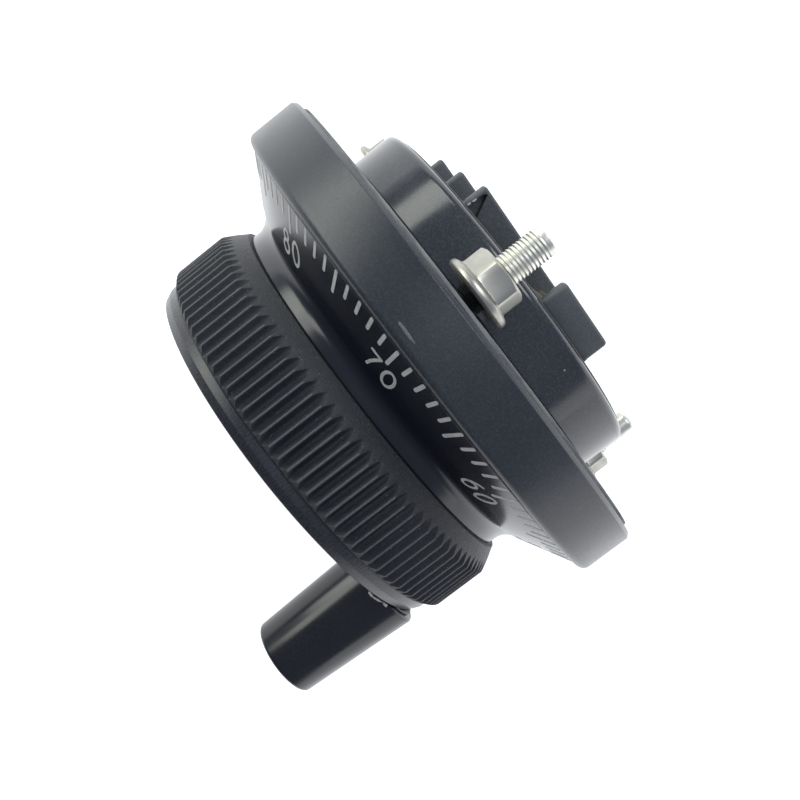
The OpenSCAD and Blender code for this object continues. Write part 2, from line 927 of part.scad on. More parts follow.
module front_disc() {
    color("#202224")
        difference() {
            turned()
                polygon([
                    [centre_hole_r, face_y],
                    [disc_r - disc_edge_in - disc_bevel, face_y],
                    [disc_r - disc_edge_in, face_y + disc_bevel / 2],
                    [disc_r, face_y + disc_edge_len],
                    [disc_r, knob_front_y],
                    [centre_hole_r, knob_front_y]
                ]);
            around(3, disc_screw_turn)
                rod(disc_screw_r + seat_fit, knob_front_y - 1.8, knob_front_y + over, disc_screw_circle_r);
            rotate([0, grip_turn, 0])
                rod(pin_thread_r + seat_fit, face_y - over, knob_front_y + over, grip_offset_r);
        }
}

module disc_screws() {
    color("#9fa09d")
        around(3, disc_screw_turn)
            difference() {
                union() {
                    rod(disc_screw_r, knob_front_y - 1.6, web_rear_y + 0.01, disc_screw_circle_r);
                    rod(disc_screw_r * 1.8, web_rear_y, web_rear_y + 1.6, disc_screw_circle_r);
                }
                translate([0, 0, disc_screw_circle_r])
                    cross_recess(web_rear_y + 1.6, 0.9, 1.3);
            }
}

module hub_washer() {
    color("#b4b6b4")
        ring(m3_r + screw_fit, centre_hole_r - 0.4, knob_front_y - hub_washer_t, knob_front_y);
}

module hub_screw() {
    head_rear_y = knob_front_y - hub_washer_t;
    color("#9fa09d")
        difference() {
            union() {
                rod(m3_r, head_rear_y - 0.01, shaft_front_y + hub_tap_depth - 0.8);
                rod(hub_head_r, head_rear_y - hub_head_h, head_rear_y);
            }
            hex_recess(head_rear_y - hub_head_h, 0.8);
        }
}

module centre_cap() {
    color("#1a1b1c")
        union() {
            ring(0, centre_hole_r - seat_fit, face_y, face_y + cap_t);
            ring(centre_hole_r - 0.9, centre_hole_r - seat_fit, face_y, face_y + cap_t + 0.6);
        }
}

module grip_washer() {
    color("#3a3b3c")
        rotate([0, grip_turn, 0])
            difference() {
                rod(grip_base_d / 2 - 0.9, face_y - washer_t, face_y, grip_offset_r);
                rod(pin_thread_r + seat_fit, face_y - washer_t - over, face_y + over, grip_offset_r);
            }
}

module grip_pin() {
    shoulder_y = face_y - washer_t;
    head_rear_y = grip_front_y + grip_pocket - pin_head_room;
    color("#a9abaa")
        rotate([0, grip_turn, 0])
            difference() {
                union() {
                    rod(pin_thread_r, shoulder_y - 0.01, pin_thread_end_y, grip_offset_r);
                    rod(pin_r, head_rear_y - 0.01, shoulder_y, grip_offset_r);
                    rod(pin_head_r, head_rear_y - pin_head_h, head_rear_y, grip_offset_r);
                }
                translate([0, 0, grip_offset_r])
                    block([-pin_head_r - over, head_rear_y - pin_head_h - over, -0.5],
                        [pin_head_r + over, head_rear_y - pin_head_h + 0.9, 0.5]);
            }
}

// ---- Grip ----

module crank_grip() {
    color("#131415")
        rotate([0, grip_turn, 0])
            translate([0, 0, grip_offset_r])
                turned()
                    difference() {
                        grip_outline();
                        translate([-over, grip_front_y - over])
                            square([pin_r + running_fit + over, grip_len + 2 * over]);
                        translate([-over, grip_front_y - over])
                            square([pin_head_r + 0.3 + over, grip_pocket + over]);
                    }
}

// Outside of the grip: a taper with a bevelled rear edge and a round far edge, as (radius, y)
module grip_outline() {
    base_r = grip_base_d / 2;
    end_r = grip_end_d / 2;
    difference() {
        polygon([
            [0, grip_rear_y],
            [base_r - grip_back_edge, grip_rear_y],
            [base_r, grip_rear_y - grip_back_edge],
            [end_r, grip_front_y + grip_edge_r],
            [end_r, grip_front_y],
            [0, grip_front_y]
        ]);
        corner_cut(end_r, grip_front_y, grip_edge_r, 1);
    }
}

// ---- Detent and encoder ----

module detent_wheel() {
    color("#b0a070")
        difference() {
            ring(shaft_r + seat_fit, detent_r, detent_front_y, detent_front_y + detent_t);
            translate([0, detent_front_y - over, 0])
                rotate([-90, 0, 0])
                    linear_extrude(detent_t + 2 * over)
                        for (i = [0 : divisions - 1])
                            rotate(i * 360 / divisions)
                                polygon([
                                    [0, -detent_r + notch_depth],
                                    [-notch_w / 2, -detent_r - 0.05],
                                    [notch_w / 2, -detent_r - 0.05]
                                ]);
        }
}

module detent_spring() {
    color("#c0c2c2")
        rotate([0, detent_turn, 0])
            difference() {
                union() {
                    block([leaf_tail, bezel_rear_y, leaf_at], [leaf_tip, detent_mid_y + 1, leaf_at + leaf_t]);
                    block([leaf_tail, bezel_rear_y, leaf_at], [leaf_tail + tab_w, bezel_rear_y + leaf_t, leaf_at + tab_len]);
                }
                translate([leaf_tail + tab_w / 2, 0, 0])
                    rod(m2_r + screw_fit, bezel_rear_y - over, bezel_rear_y + over, leaf_at + tab_len / 2);
            }
}

module detent_roller() {
    color("#d8dada")
        rotate([0, detent_turn, 0])
            rod(roller_r, detent_mid_y - roller_len / 2, detent_mid_y + roller_len / 2, roller_at);
}

module detent_screw() {
    head_y = bezel_rear_y + leaf_t;
    color("#9fa09d")
        rotate([0, detent_turn, 0])
            translate([leaf_tail + tab_w / 2, 0, leaf_at + tab_len / 2])
                difference() {
                    union() {
                        rod(m2_r, bezel_rear_y - 1.8, head_y + 0.01);
                        rod(m2_head_r, head_y, head_y + m2_head_h);
                    }
                    cross_recess(head_y + m2_head_h, 0.5, 1.1);
                }
}

module code_hub() {
    color("#b7b9ba")
        ring(shaft_r + seat_fit, code_hub_r, code_hub_front_y, code_front_y);
}

module code_disc() {
    color("#707479")
        difference() {
            ring(shaft_r + seat_fit, code_r, code_front_y, code_rear_y);
            translate([0, code_front_y - over, 0])
                rotate([-90, 0, 0])
                    linear_extrude(code_disc_t + 2 * over)
                        for (i = [0 : divisions - 1])
                            rotate(i * 360 / divisions)
                                translate([-window_w / 2, window_in_r])
                                    square([window_w, window_out_r - window_in_r]);
        }
}

module code_clamp() {
    color("#b7b9ba")
        ring(shaft_r + seat_fit, code_hub_r - 1, code_rear_y, code_rear_y + code_clamp_t);
}

module encoder_board() {
    color("#1f5a37")
        difference() {
            ring(shaft_r + 1, board_r, board_front_y, cover_front_y);
            around(3, cover_screw_turn)
                rod(post_r + post_gap, board_front_y - over, cover_front_y + over, cover_screw_circle_r);
            around(3, cover_screw_turn)
                block([-post_r - post_gap, board_front_y - over, cover_screw_circle_r],
                    [post_r + post_gap, cover_front_y + over, housing_r]);
            each_terminal()
                block([-contact_leg_w / 2 - slot_gap, board_front_y - over, contact_leg_z - contact_t - slot_gap],
                    [contact_leg_w / 2 + slot_gap, cover_front_y + over, contact_leg_z + slot_gap]);
        }
}

module sensor_holder() {
    color("#2b2c2e")
        rotate([0, fork_turn, 0])
            difference() {
                block([-fork_w / 2, fork_front_y, fork_in_r], [fork_w / 2, board_front_y, fork_out_r]);
                block([-fork_w / 2 - over, slot_front_y, fork_in_r - over],
                    [fork_w / 2 + over, slot_rear_y, code_r + 0.6]);
                rod(1.2 + seat_fit, fork_front_y - over, slot_front_y + over, optic_r);
                block([-1.6 - seat_fit, slot_rear_y - over, optic_r - 1.6 - seat_fit],
                    [1.6 + seat_fit, board_front_y + over, optic_r + 1.6 + seat_fit]);
            }
}

module light_emitter() {
    color("#cfe3ee")
        rotate([0, fork_turn, 0])
            rod(1.2, fork_front_y, slot_front_y, optic_r);
}

module photo_sensor() {
    color("#101113")
        rotate([0, fork_turn, 0])
            block([-1.6, slot_rear_y + mask_t, optic_r - 1.6], [1.6, board_front_y, optic_r + 1.6]);
}

module mask_plate() {
    color("#9fb0b8")
        rotate([0, fork_turn, 0])
            difference() {
                block([-1.6, slot_rear_y, optic_r - 1.6], [1.6, slot_rear_y + mask_t, optic_r + 1.6]);
                for (x = [-0.8, 0.2])
                    block([x, slot_rear_y - over, optic_r - 1], [x + 0.4, slot_rear_y + mask_t + over, optic_r + 1]);
            }
}

module driver_chip() {
    color("#151617")
        block([-chip_half_w, board_front_y - chip_h, chip_low_z], [chip_half_w, board_front_y, chip_high_z]);
}

module board_capacitor() {
    color("#b08a3c")
        block([chip_half_w + 4, board_front_y - chip_h + 0.2, chip_low_z],
            [chip_half_w + 7, board_front_y, chip_low_z + 2]);
}

bezel();
panel_gasket();
panel_studs();
flange_nuts();
rear_housing();
rear_cover();
cover_screws();
terminal_block();
terminal_contacts();
terminal_clamps();
terminal_screws();
bearing_sleeve();
sleeve_screws();
bearing_outer_rings();
bearing_inner_rings();
bearing_balls();
ball_cages();
shaft();
retaining_ring();
dial_skirt();
skirt_screws();
knob();
front_disc();
disc_screws();
hub_washer();
hub_screw();
centre_cap();
grip_washer();
grip_pin();
crank_grip();
detent_wheel();
detent_spring();
detent_roller();
detent_screw();
code_hub();
code_disc();
code_clamp();
encoder_board();
sensor_holder();
light_emitter();
photo_sensor();
mask_plate();
driver_chip();
board_capacitor();
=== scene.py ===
"""Looks of the panel handwheel: detailed pieces over the CAD frame, their finishes, light and camera."""

import json
import math

import bmesh
import bpy
from mathutils import Matrix, Vector, noise
from mathutils.bvhtree import BVHTree


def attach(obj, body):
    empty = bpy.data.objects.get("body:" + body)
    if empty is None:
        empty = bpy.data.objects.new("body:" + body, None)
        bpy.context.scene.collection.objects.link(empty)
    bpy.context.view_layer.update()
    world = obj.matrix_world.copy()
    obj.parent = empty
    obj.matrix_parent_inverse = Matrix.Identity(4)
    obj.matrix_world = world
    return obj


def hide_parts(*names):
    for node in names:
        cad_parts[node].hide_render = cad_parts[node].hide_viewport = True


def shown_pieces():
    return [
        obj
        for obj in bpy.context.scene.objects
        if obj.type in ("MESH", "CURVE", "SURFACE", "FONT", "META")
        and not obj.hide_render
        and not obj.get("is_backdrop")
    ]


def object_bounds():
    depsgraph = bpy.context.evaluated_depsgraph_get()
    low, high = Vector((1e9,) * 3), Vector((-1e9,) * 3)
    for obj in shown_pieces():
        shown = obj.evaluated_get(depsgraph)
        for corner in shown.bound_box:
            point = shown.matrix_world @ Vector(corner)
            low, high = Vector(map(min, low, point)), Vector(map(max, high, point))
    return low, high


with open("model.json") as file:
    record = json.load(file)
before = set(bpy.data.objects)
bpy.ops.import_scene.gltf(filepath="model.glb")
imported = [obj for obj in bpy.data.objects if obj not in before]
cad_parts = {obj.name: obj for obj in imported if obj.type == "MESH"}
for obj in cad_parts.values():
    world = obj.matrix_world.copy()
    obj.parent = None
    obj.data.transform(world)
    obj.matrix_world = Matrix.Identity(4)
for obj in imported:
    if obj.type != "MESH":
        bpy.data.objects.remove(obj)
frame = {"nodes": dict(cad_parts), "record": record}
CAD_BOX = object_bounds()
MM = 0.001

# ---- Sizes in millimetres, as in the CAD model ----

BEZEL_R = 39.98
BEZEL_BORE_R = 38.6
BEZEL_FRONT = -9.6
BEZEL_REAR = -1.1
PLATE_FRONT = -4.1
PLATE_BORE_R = 9.52
GASKET_IN_R = 27.4
GASKET_R = 38.4
PANEL_Y = -0.6
HOUSING_R = 28.0
HOUSING_FOOT = 0.3
HOUSING_REAR = 7.1
HOUSING_BORE_R = 26.1
SPIGOT_R = 27.25
COVER_R = 26.5
COVER_FRONT = 6.2
COVER_REAR = 7.4
COVER_FIT = 0.12
COVER_SCREW_AT = 22.0
COVER_SCREW_TURN = 115.5
COVER_SCREW_R = 1.7
COVER_SCREW_FOOT = 5.0
COVER_SINK_R = 3.95
COVER_SINK_DEEP = 1.25

STUD_AT = 34.0
STUD_TURNS = [2 * math.pi * i / 3 for i in range(3)]
STUD_TIPS = [11.5, 11.3, 9.2]
STUD_R = 2.0
STUD_ROOT_R = 1.6
THREAD_ROOT_R = 1.85
STUD_PITCH = 0.5
STUD_DOMES = [0.4, 1.2, 0.4]
STUD_TIP_RS = [1.5, 0.7, 1.5]
PLAIN_ENDS = [0.5, 3.6, 0.5]
STUD_FRONT = -3.8
NUT_FRONTS = [0.8, -0.25, 3.1]
NUT_H = 4.4
NUT_HALF = 3.5
NUT_CORNER_R = 3.98
NUT_FILLET_R = 4.12
CORNER_SHARP = 30
NUT_FLANGE_R = 4.9
NUT_FLANGE_T = 1.25
NUT_TURNS = [13.0, 0.0, 30.0]

TERMINAL_TURN = math.radians(295.5)
TERMINAL_PITCH = 12.0
BLOCK_HALF = 23.7
BLOCK_BACK = -5.2
BLOCK_FRONT = 5.4
BLOCK_FLOOR = 8.2
BARRIER_TOP = 11.5
BARRIER_HALF = 0.8
BARRIER_REACH = 18.4
END_WALL = 1.8
NOTCH = [(7.8, 17.75), (10.5, 17.8), (11.05, 17.35), (7.8, 15.6)]
NOTCH_DEEP = 0.9

DIAL_RIM_R = 38.3
DIAL_RIM_Y = -9.7
DIAL_SLOPE = math.radians(59.5)
DIAL_WALL = 1.6
DIAL_BORE_R = 11.0
NECK_R = 28.85
NECK_FILLET = 3.0
NECK_CORNER_Y = DIAL_RIM_Y - (DIAL_RIM_R - NECK_R) / math.tan(DIAL_SLOPE)
KNOB_REAR = -18.02
KNOB_FRONT = -30.42
TEETH = 108
TIP_R = 31.6
ROOT_R = 30.7
CREST_HALF = 0.068
SHOULDER_R = 29.65
SHOULDER_SLOPE = math.tan(math.radians(28.8))
SHOULDER_FRONT = KNOB_REAR - (TIP_R - SHOULDER_R) / SHOULDER_SLOPE
KNOB_BORE_R = 26.68
WEB_REAR = -26.22
HUB_R = 7.0
HUB_LEN = 4.6
HUB_SCREW_R = 1.7
HUB_SCREW_WALL = 1.8
SHAFT_BORE_R = 3.02
FRONT_BORE_R = 5.5
DISC_R = 30.6
DISC_RIM_R = 30.3
DISC_FACE = -33.08
CAP_R = 5.46
CAP_DOME = 0.25

GRIP_AT = 24.7
GRIP_TURN = math.radians(72)
GRIP_REAR = -33.41
GRIP_FRONT = -52.10
GRIP_BASE_R = 6.65
GRIP_END_R = 5.85
PIN_BORE_R = 2.56
PIN_HEAD_R = 4.3
PIN_HEAD_SINK = 3.2

DIVISIONS = 100
TOP_VALUE = 70
TICK_OUT_R = 38.2
SHORT_IN_R = 35.8
LONG_IN_R = 34.5
TICK_W = 0.56
DIGIT_FOOT_R = 31.0
DIGIT_H = 3.9
DIGIT_W = 2.3
DIGIT_GAP = 0.75
DIGIT_STROKE = 0.46
PRINT_LIFT = 0.03

AROUND = 360
LINES_R = 30.0
SHARP = 32.0

# ---- Camera, fitted to the image points ----

CAMERA_AT = Vector((6.004, -4.385, 143.260)) * MM
CAMERA_AIM = Vector((3.749, -16.012, 0.0)) * MM
CAMERA_UP = Vector((-0.792533, 0.608709, -0.036926))
LENS = 42.407
SENSOR = 36.0
IMAGE_W = 800
IMAGE_H = 800

# ---- Light, in metres: floor and sky, and each lamp's place, aim in y, size, radiance and colour ----

FLOOR_REACH = 6.0
FLOOR_COLOUR = (0.80, 0.80, 0.80)
# Painted light: the floor's glow rises from the first value to the second over GLOW_SPAN towards +x.
FLOOR_GLOW = (0.72, 1.0)
GLOW_SPAN = 0.15
SKY_LOW = (1.0, 1.0, 1.0)
SKY_HIGH = (0.28, 0.31, 0.39)
SKY_FADE = (-0.02, 0.06)
SKY_FRONT = 0.40
SKY_TURN = (-0.9, -0.35)
LAMPS = (
    ("key", (-0.775, 0.02, 0.33), -0.02, (0.80, 0.27), 4.8, (0.97, 1.0, 0.91)),
    ("key_upper", (-0.64, -0.27, 0.53), -0.02, (0.42, 0.22), 4.2, (0.97, 1.0, 0.91)),
    ("back", (-0.04, 0.61, 0.73), -0.02, (0.50, 0.40), 6.5, (0.97, 0.99, 1.0)),
    ("overhead", (0.0, 0.05, 0.92), -0.01, (0.30, 0.30), 1.0, (0.97, 0.98, 1.0)),
    ("fill", (0.90, 0.0, 0.10), -0.02, (0.90, 0.18), 1.4, (1.0, 0.99, 0.97)),
)

# The photograph's image points, in its 800 x 800 frame
POINTS = {
    "object_left": (168.0, None),
    "object_top": (None, 103.0),
    "object_right": (634.0, None),
    "object_bottom": (None, 691.0),
    "near_stud_tip": (548.1, 237.6),
    "far_stud_tip": (629.0, 419.0),
    "tick_70_end": (401.7, 351.4),
    "numeral_70": (382.1, 367.2),
    "numeral_60": (480.0, 494.0),
    "numeral_80": (291.0, 247.0),
    "grip_far_end": (261.7, None),
    "bezel_front_top": (253.0, 135.0),
    "bezel_rear_bottom": (628.0, 538.0),
    "end_wall_corner": (607.0, 345.0),
    "bezel_smear": (406.5, 332.5),
    "grip_burr": (371.0, 594.6),
    "grip_burr_2": (377.5, 599.6),
    "grip_burr_3": (385.2, 604.6),
    "notch_chip": (469.0, 204.0),
    "notch_chip_2": (474.6, 200.2),
}


# ---- Mesh building ----

def at(radius, y, turn, centre=(0.0, 0.0)):
    """The point at a radius and a turn, clockwise from the top as seen from the rear."""
    return (centre[0] + radius * math.sin(turn), y, centre[1] + radius * math.cos(turn))


def centre_at(radius, turn):
    """The x and z of a round piece's own axis."""
    return radius * math.sin(turn), radius * math.cos(turn)


def full_turn(count):
    """Evenly spaced turns, the first at the top."""
    return [2 * math.pi * i / count for i in range(count)]


def rings_mesh(rings, wrap):
    """Vertices and faces of a row of rings. A ring of one point is a pole."""
    verts = [p for ring in rings for p in ring]
    starts = []
    total = 0
    for ring in rings:
        starts.append(total)
        total += len(ring)
    faces = []
    pairs = len(rings) if wrap else len(rings) - 1
    for j in range(pairs):
        k = (j + 1) % len(rings)
        count = max(len(rings[j]), len(rings[k]))
        for i in range(count):
            n = (i + 1) % count
            corners = []
            for ring, column in ((j, i), (j, n), (k, n), (k, i)):
                corner = starts[ring] + (column if len(rings[ring]) > 1 else 0)
                if corner not in corners:
                    corners.append(corner)
            faces.append(corners)
    return verts, faces


def gather(verts, faces, more_verts, more_faces):
    """Adds a mesh's points and faces to lists of them."""
    faces += [[k + len(verts) for k in face] for face in more_faces]
    verts += more_verts


def outline(corners, steps=5):
    """A closed outline from corners given as (radius, y, rounding)."""
    points = []
    for i, (r, y, rounding) in enumerate(corners):
        here = Vector((r, y))
        if rounding == 0:
            points.append((r, y))
            continue
        before = (Vector(corners[i - 1][:2]) - here).normalized()
        after = (Vector(corners[(i + 1) % len(corners)][:2]) - here).normalized()
        half = before.angle(after) / 2
        middle = here + (before + after).normalized() * rounding / math.sin(half)
        first = here + before * rounding / math.tan(half) - middle
        last = here + after * rounding / math.tan(half) - middle
        start = math.atan2(first.y, first.x)
        sweep = math.atan2(last.y, last.x) - start
        sweep = (sweep + math.pi) % (2 * math.pi) - math.pi
        for k in range(steps + 1):
            angle = start + sweep * k / steps
            points.append((middle.x + rounding * math.cos(angle), middle.y + rounding * math.sin(angle)))
    return points


def add_object(name, data):
    made = bpy.data.objects.new(name, data)
    bpy.context.scene.collection.objects.link(made)
    return made


def make_piece(name, verts, faces, material, sharp=SHARP):
    """A closed mesh piece from points in millimetres."""
    mesh = bpy.data.meshes.new(name)
    mesh.from_pydata([Vector(v) * MM for v in verts], [], faces)
    return from_mesh(name, mesh, material, sharp)


def dress(mesh, material, sharp=SHARP):
    """Smooth shading with sharp edges, and the one material."""
    mesh.shade_smooth()
    mesh.set_sharp_from_angle(angle=math.radians(sharp))
    mesh.materials.clear()
    mesh.materials.append(material)


def from_mesh(name, mesh, material, sharp=SHARP):
    bm = bmesh.new()
    bm.from_mesh(mesh)
    bmesh.ops.recalc_face_normals(bm, faces=bm.faces)
    bm.to_mesh(mesh)
    bm.free()
    dress(mesh, material, sharp)
    return add_object(name, mesh)


def turned(name, profile, material, centre=(0.0, 0.0), count=AROUND, wobble=None):
    """A turned piece from a closed (radius, y) outline; wobble changes a radius by its turn."""
    rings = []
    for r, y in profile:
        if r < 1e-6:
            rings.append([at(0, y, 0, centre)])
            continue
        rings.append([at(wobble(r, y, a) if wobble else r, y, a, centre) for a in full_turn(count)])
    solid = all(len(ring) > 1 for ring in rings)
    return make_piece(name, *rings_mesh(rings, solid), material)


def hold(piece, body, slot, *nodes):
    """Rides the piece on its body and hides the CAD nodes that it stands for; the slot is not used."""
    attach(piece, body)
    if nodes:
        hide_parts(*nodes)
    return piece


def carve(piece, cutter):
    """Cuts one closed piece out of another and removes the cutter."""
    modifier = piece.modifiers.new("cut", "BOOLEAN")
    modifier.operation = "DIFFERENCE"
    modifier.solver = "EXACT"
    modifier.object = cutter
    depsgraph = bpy.context.evaluated_depsgraph_get()
    mesh = bpy.data.meshes.new_from_object(piece.evaluated_get(depsgraph))
    piece.modifiers.clear()
    material = piece.data.materials[0]
    piece.data = mesh
    dress(mesh, material)
    bpy.data.objects.remove(cutter)


def blocks_piece(name, boxes, material, turn):
    """One piece of bevelled blocks, given as (low, high, bevel), turned about the shaft axis."""
    bm = bmesh.new()
    for low, high, bevel in boxes:
        size = [h - l for l, h in zip(low, high)]
        middle = [(h + l) / 2 for l, h in zip(low, high)]
        place = Matrix.Rotation(turn, 4, "Y") @ Matrix.Translation(middle) @ Matrix.Diagonal((*size, 1))
        made = bmesh.ops.create_cube(bm, size=1.0, matrix=place)
        edges = {e for v in made["verts"] for e in v.link_edges}
        bmesh.ops.bevel(bm, geom=list(edges), offset=bevel, segments=3, profile=0.5, affect="EDGES")
    bmesh.ops.scale(bm, vec=(MM, MM, MM), verts=bm.verts)
    mesh = bpy.data.meshes.new(name)
    bm.to_mesh(mesh)
    bm.free()
    return from_mesh(name, mesh, material)


# ---- Finishes ----

class Nodes:
    """Short names for the steps that build a node tree."""

    def __init__(self, tree):
        self.tree = tree

    def add(self, kind, **settings):
        node = self.tree.nodes.new(kind)
        for key, value in settings.items():
            setattr(node, key, value)
        return node

    def join(self, output, socket):
        self.tree.links.new(output, socket)

    def split(self, vector):
        """The x, y and z of a vector."""
        node = self.add("ShaderNodeSeparateXYZ")
        self.join(vector, node.inputs[0])
        return node.outputs[0], node.outputs[1], node.outputs[2]

    def coordinates(self, kind):
        return self.add("ShaderNodeTexCoord").outputs[kind]

    def math(self, operation, *values):
        node = self.add("ShaderNodeMath", operation=operation)
        for socket, value in zip(node.inputs, values):
            if isinstance(value, (int, float)):
                socket.default_value = value
            else:
                self.join(value, socket)
        return node.outputs[0]

    def spread(self, value, low, high, to_low, to_high, kind="LINEAR"):
        """A value mapped from one span to another."""
        node = self.add("ShaderNodeMapRange", interpolation_type=kind)
        self.join(value, node.inputs["Value"])
        for key, number in zip(("From Min", "From Max", "To Min", "To Max"), (low, high, to_low, to_high)):
            node.inputs[key].default_value = number
        return node.outputs[0]

    def blend(self, amount, first, second):
        """Mixes two colours; each is a colour tuple or a socket."""
        node = self.add("ShaderNodeMix", data_type="RGBA")
        self.join(amount, node.inputs["Factor"])
        for socket, value in ((node.inputs[6], first), (node.inputs[7], second)):
            if isinstance(value, tuple):
                socket.default_value = (*value, 1.0)
            else:
                self.join(value, socket)
        return node.outputs[2]


class Finish(Nodes):
    """A node material whose detail is laid out in millimetres on the piece itself."""

    def __init__(self, name):
        self.material = bpy.data.materials.new(name)
        self.material.use_nodes = True
        super().__init__(self.material.node_tree)
        self.shader = self.tree.nodes["Principled BSDF"]
        self.bump = None
        scale = self.add("ShaderNodeVectorMath", operation="SCALE")
        scale.inputs["Scale"].default_value = 1 / MM
        self.join(self.coordinates("Object"), scale.inputs[0])
        self.place = scale.outputs["Vector"]

    def around_axis(self):
        """Coordinates (radius, y, length around the shaft axis as it is at LINES_R)."""
        x, y, z = self.split(self.place)
        radius = self.math("SQRT", self.math("ADD", self.math("MULTIPLY", x, x), self.math("MULTIPLY", z, z)))
        merge = self.add("ShaderNodeCombineXYZ")
        self.join(radius, merge.inputs[0])
        self.join(y, merge.inputs[1])
        self.join(self.math("MULTIPLY", self.math("ARCTAN2", x, z), LINES_R), merge.inputs[2])
        return merge.outputs[0]

    def noise(self, scale, stretch=(1.0, 1.0, 1.0), detail=3.0, rough=0.55, place=None):
        mapping = self.add("ShaderNodeMapping")
        mapping.inputs["Scale"].default_value = stretch
        self.join(place or self.place, mapping.inputs["Vector"])
        node = self.add("ShaderNodeTexNoise")
        node.inputs["Scale"].default_value = scale
        node.inputs["Detail"].default_value = detail
        node.inputs["Roughness"].default_value = rough
        self.join(mapping.outputs[0], node.inputs["Vector"])
        return node.outputs["Fac"]

    def relief(self, height, depth):
        """Adds a bump of the given depth in millimetres."""
        node = self.add("ShaderNodeBump")
        node.inputs["Strength"].default_value = 1.0
        node.inputs["Distance"].default_value = depth * MM
        self.join(height, node.inputs["Height"])
        if self.bump:
            self.join(self.bump, node.inputs["Normal"])
        self.bump = node.outputs[0]
        self.join(self.bump, self.shader.inputs["Normal"])

    def mottle(self, colour, pale, size, amount):
        """Blends in a fine, uneven paler grain of the given size in millimetres."""
        grain = self.noise(1 / size, detail=2.0, rough=0.7)
        return self.blend(self.spread(grain, 0.45, 0.75, 0.0, amount), colour, pale)

    def specks(self, colour, spacing, size, pale):
        """Puts small scattered spots of a paler colour on the colour."""
        cells = self.add("ShaderNodeTexVoronoi", feature="F1")
        cells.inputs["Scale"].default_value = 1 / spacing
        self.join(self.place, cells.inputs["Vector"])
        near = self.spread(cells.outputs["Distance"], size * 0.6, size, 1.0, 0.0)
        red = self.add("ShaderNodeSeparateColor")
        self.join(cells.outputs["Color"], red.inputs[0])
        chosen = self.math("GREATER_THAN", red.outputs[0], 0.72)
        return self.blend(self.math("MULTIPLY", near, chosen), colour, pale)

    def worn(self, colour, low, high, amount, pale):
        """Blends a paler colour in on convex edges."""
        edge = self.spread(self.add("ShaderNodeNewGeometry").outputs["Pointiness"], low, high, 0.0, 1.0)
        return self.blend(self.math("MULTIPLY", edge, amount), colour, pale)

    def clouded(self, scale, detail, first, second, high=0.7):
        """A slow noise, and the colour that it varies between two colours."""
        cloud = self.noise(scale, detail=detail)
        return cloud, self.blend(self.spread(cloud, 0.35, high, 0.0, 1.0), first, second)

    def surface(self, colour, value, low, high, metallic=0.0):
        """Sets the colour, and a roughness that follows a noise value from low to high."""
        self.join(colour, self.shader.inputs["Base Color"])
        self.join(self.spread(value, 0.3, 0.7, low, high), self.shader.inputs["Roughness"])
        self.shader.inputs["Metallic"].default_value = metallic
        return self.material


def satin_black():
    """Fine-grained satin black of the bezel, with pale scuffs and specks."""
    f = Finish("satin_black")
    scratch = f.noise(1.3, stretch=(1.0, 0.12, 1.0), detail=5.0, rough=0.7)
    cloud, colour = f.clouded(0.07, 4.0, (0.020, 0.024, 0.031), (0.029, 0.034, 0.041))
    colour = f.mottle(colour, (0.080, 0.088, 0.095), 0.30, 0.35)
    colour = f.blend(f.spread(scratch, 0.66, 0.76, 0.0, 0.5), colour, (0.10, 0.105, 0.11))
    colour = f.specks(colour, 2.6, 0.055, (0.34, 0.35, 0.36))
    f.relief(f.noise(9.0, detail=2.0), 0.018)
    f.relief(scratch, 0.006)
    return f.surface(colour, cloud, 0.24, 0.33)


def gloss_black():
    """Glossy moulded black with faint haze and turning marks."""
    f = Finish("gloss_black")
    lines = f.noise(1.0, stretch=(2.2, 5.0, 0.05), detail=4.0, rough=0.6, place=f.around_axis())
    cloud, colour = f.clouded(0.09, 4.0, (0.0095, 0.0115, 0.0175), (0.0140, 0.0160, 0.0225))
    colour = f.specks(colour, 3.4, 0.035, (0.20, 0.21, 0.22))
    f.relief(lines, 0.0016)
    return f.surface(colour, cloud, 0.16, 0.23)


def housing_black():
    """Glossy moulding of the rear housing, hazy and scuffed."""
    f = Finish("housing_black")
    scratch = f.noise(0.9, stretch=(1.0, 0.25, 1.0), detail=5.0, rough=0.7)
    cloud, colour = f.clouded(0.10, 4.0, (0.026, 0.030, 0.038), (0.037, 0.041, 0.048))
    colour = f.mottle(colour, (0.10, 0.105, 0.11), 0.28, 0.45)
    colour = f.blend(f.spread(scratch, 0.70, 0.78, 0.0, 0.5), colour, (0.16, 0.16, 0.16))
    colour = f.specks(colour, 2.8, 0.05, (0.45, 0.45, 0.44))
    f.relief(f.noise(0.35, detail=1.0), 0.010)
    f.relief(scratch, 0.004)
    return f.surface(colour, cloud, 0.12, 0.19)


def sand_black():
    """Matte, sand-like texture of the knob. Painted highlights run along the tooth crests."""
    f = Finish("sand_black")
    sand = f.noise(3.8, detail=4.0, rough=0.7)
    _, colour = f.clouded(0.12, 3.0, (0.0090, 0.0110, 0.0165), (0.0145, 0.0170, 0.0230))
    colour = f.mottle(colour, (0.046, 0.050, 0.055), 0.24, 0.5)
    radius, _, _ = f.split(f.around_axis())
    # Painted highlight: the tooth crests are paler, broken up by the sand.
    crest = f.spread(radius, TIP_R - 0.16, TIP_R - 0.05, 0.0, 1.0)
    crest = f.math("MULTIPLY", crest, f.spread(sand, 0.3, 0.6, 0.35, 0.9))
    colour = f.blend(crest, colour, (0.100, 0.105, 0.112))
    # Painted glints: pale specks that stand in for the sparkle of the sand grains.
    colour = f.specks(colour, 0.6, 0.085, (0.34, 0.35, 0.37))
    f.relief(sand, 0.12)
    return f.surface(colour, sand, 0.36, 0.56)


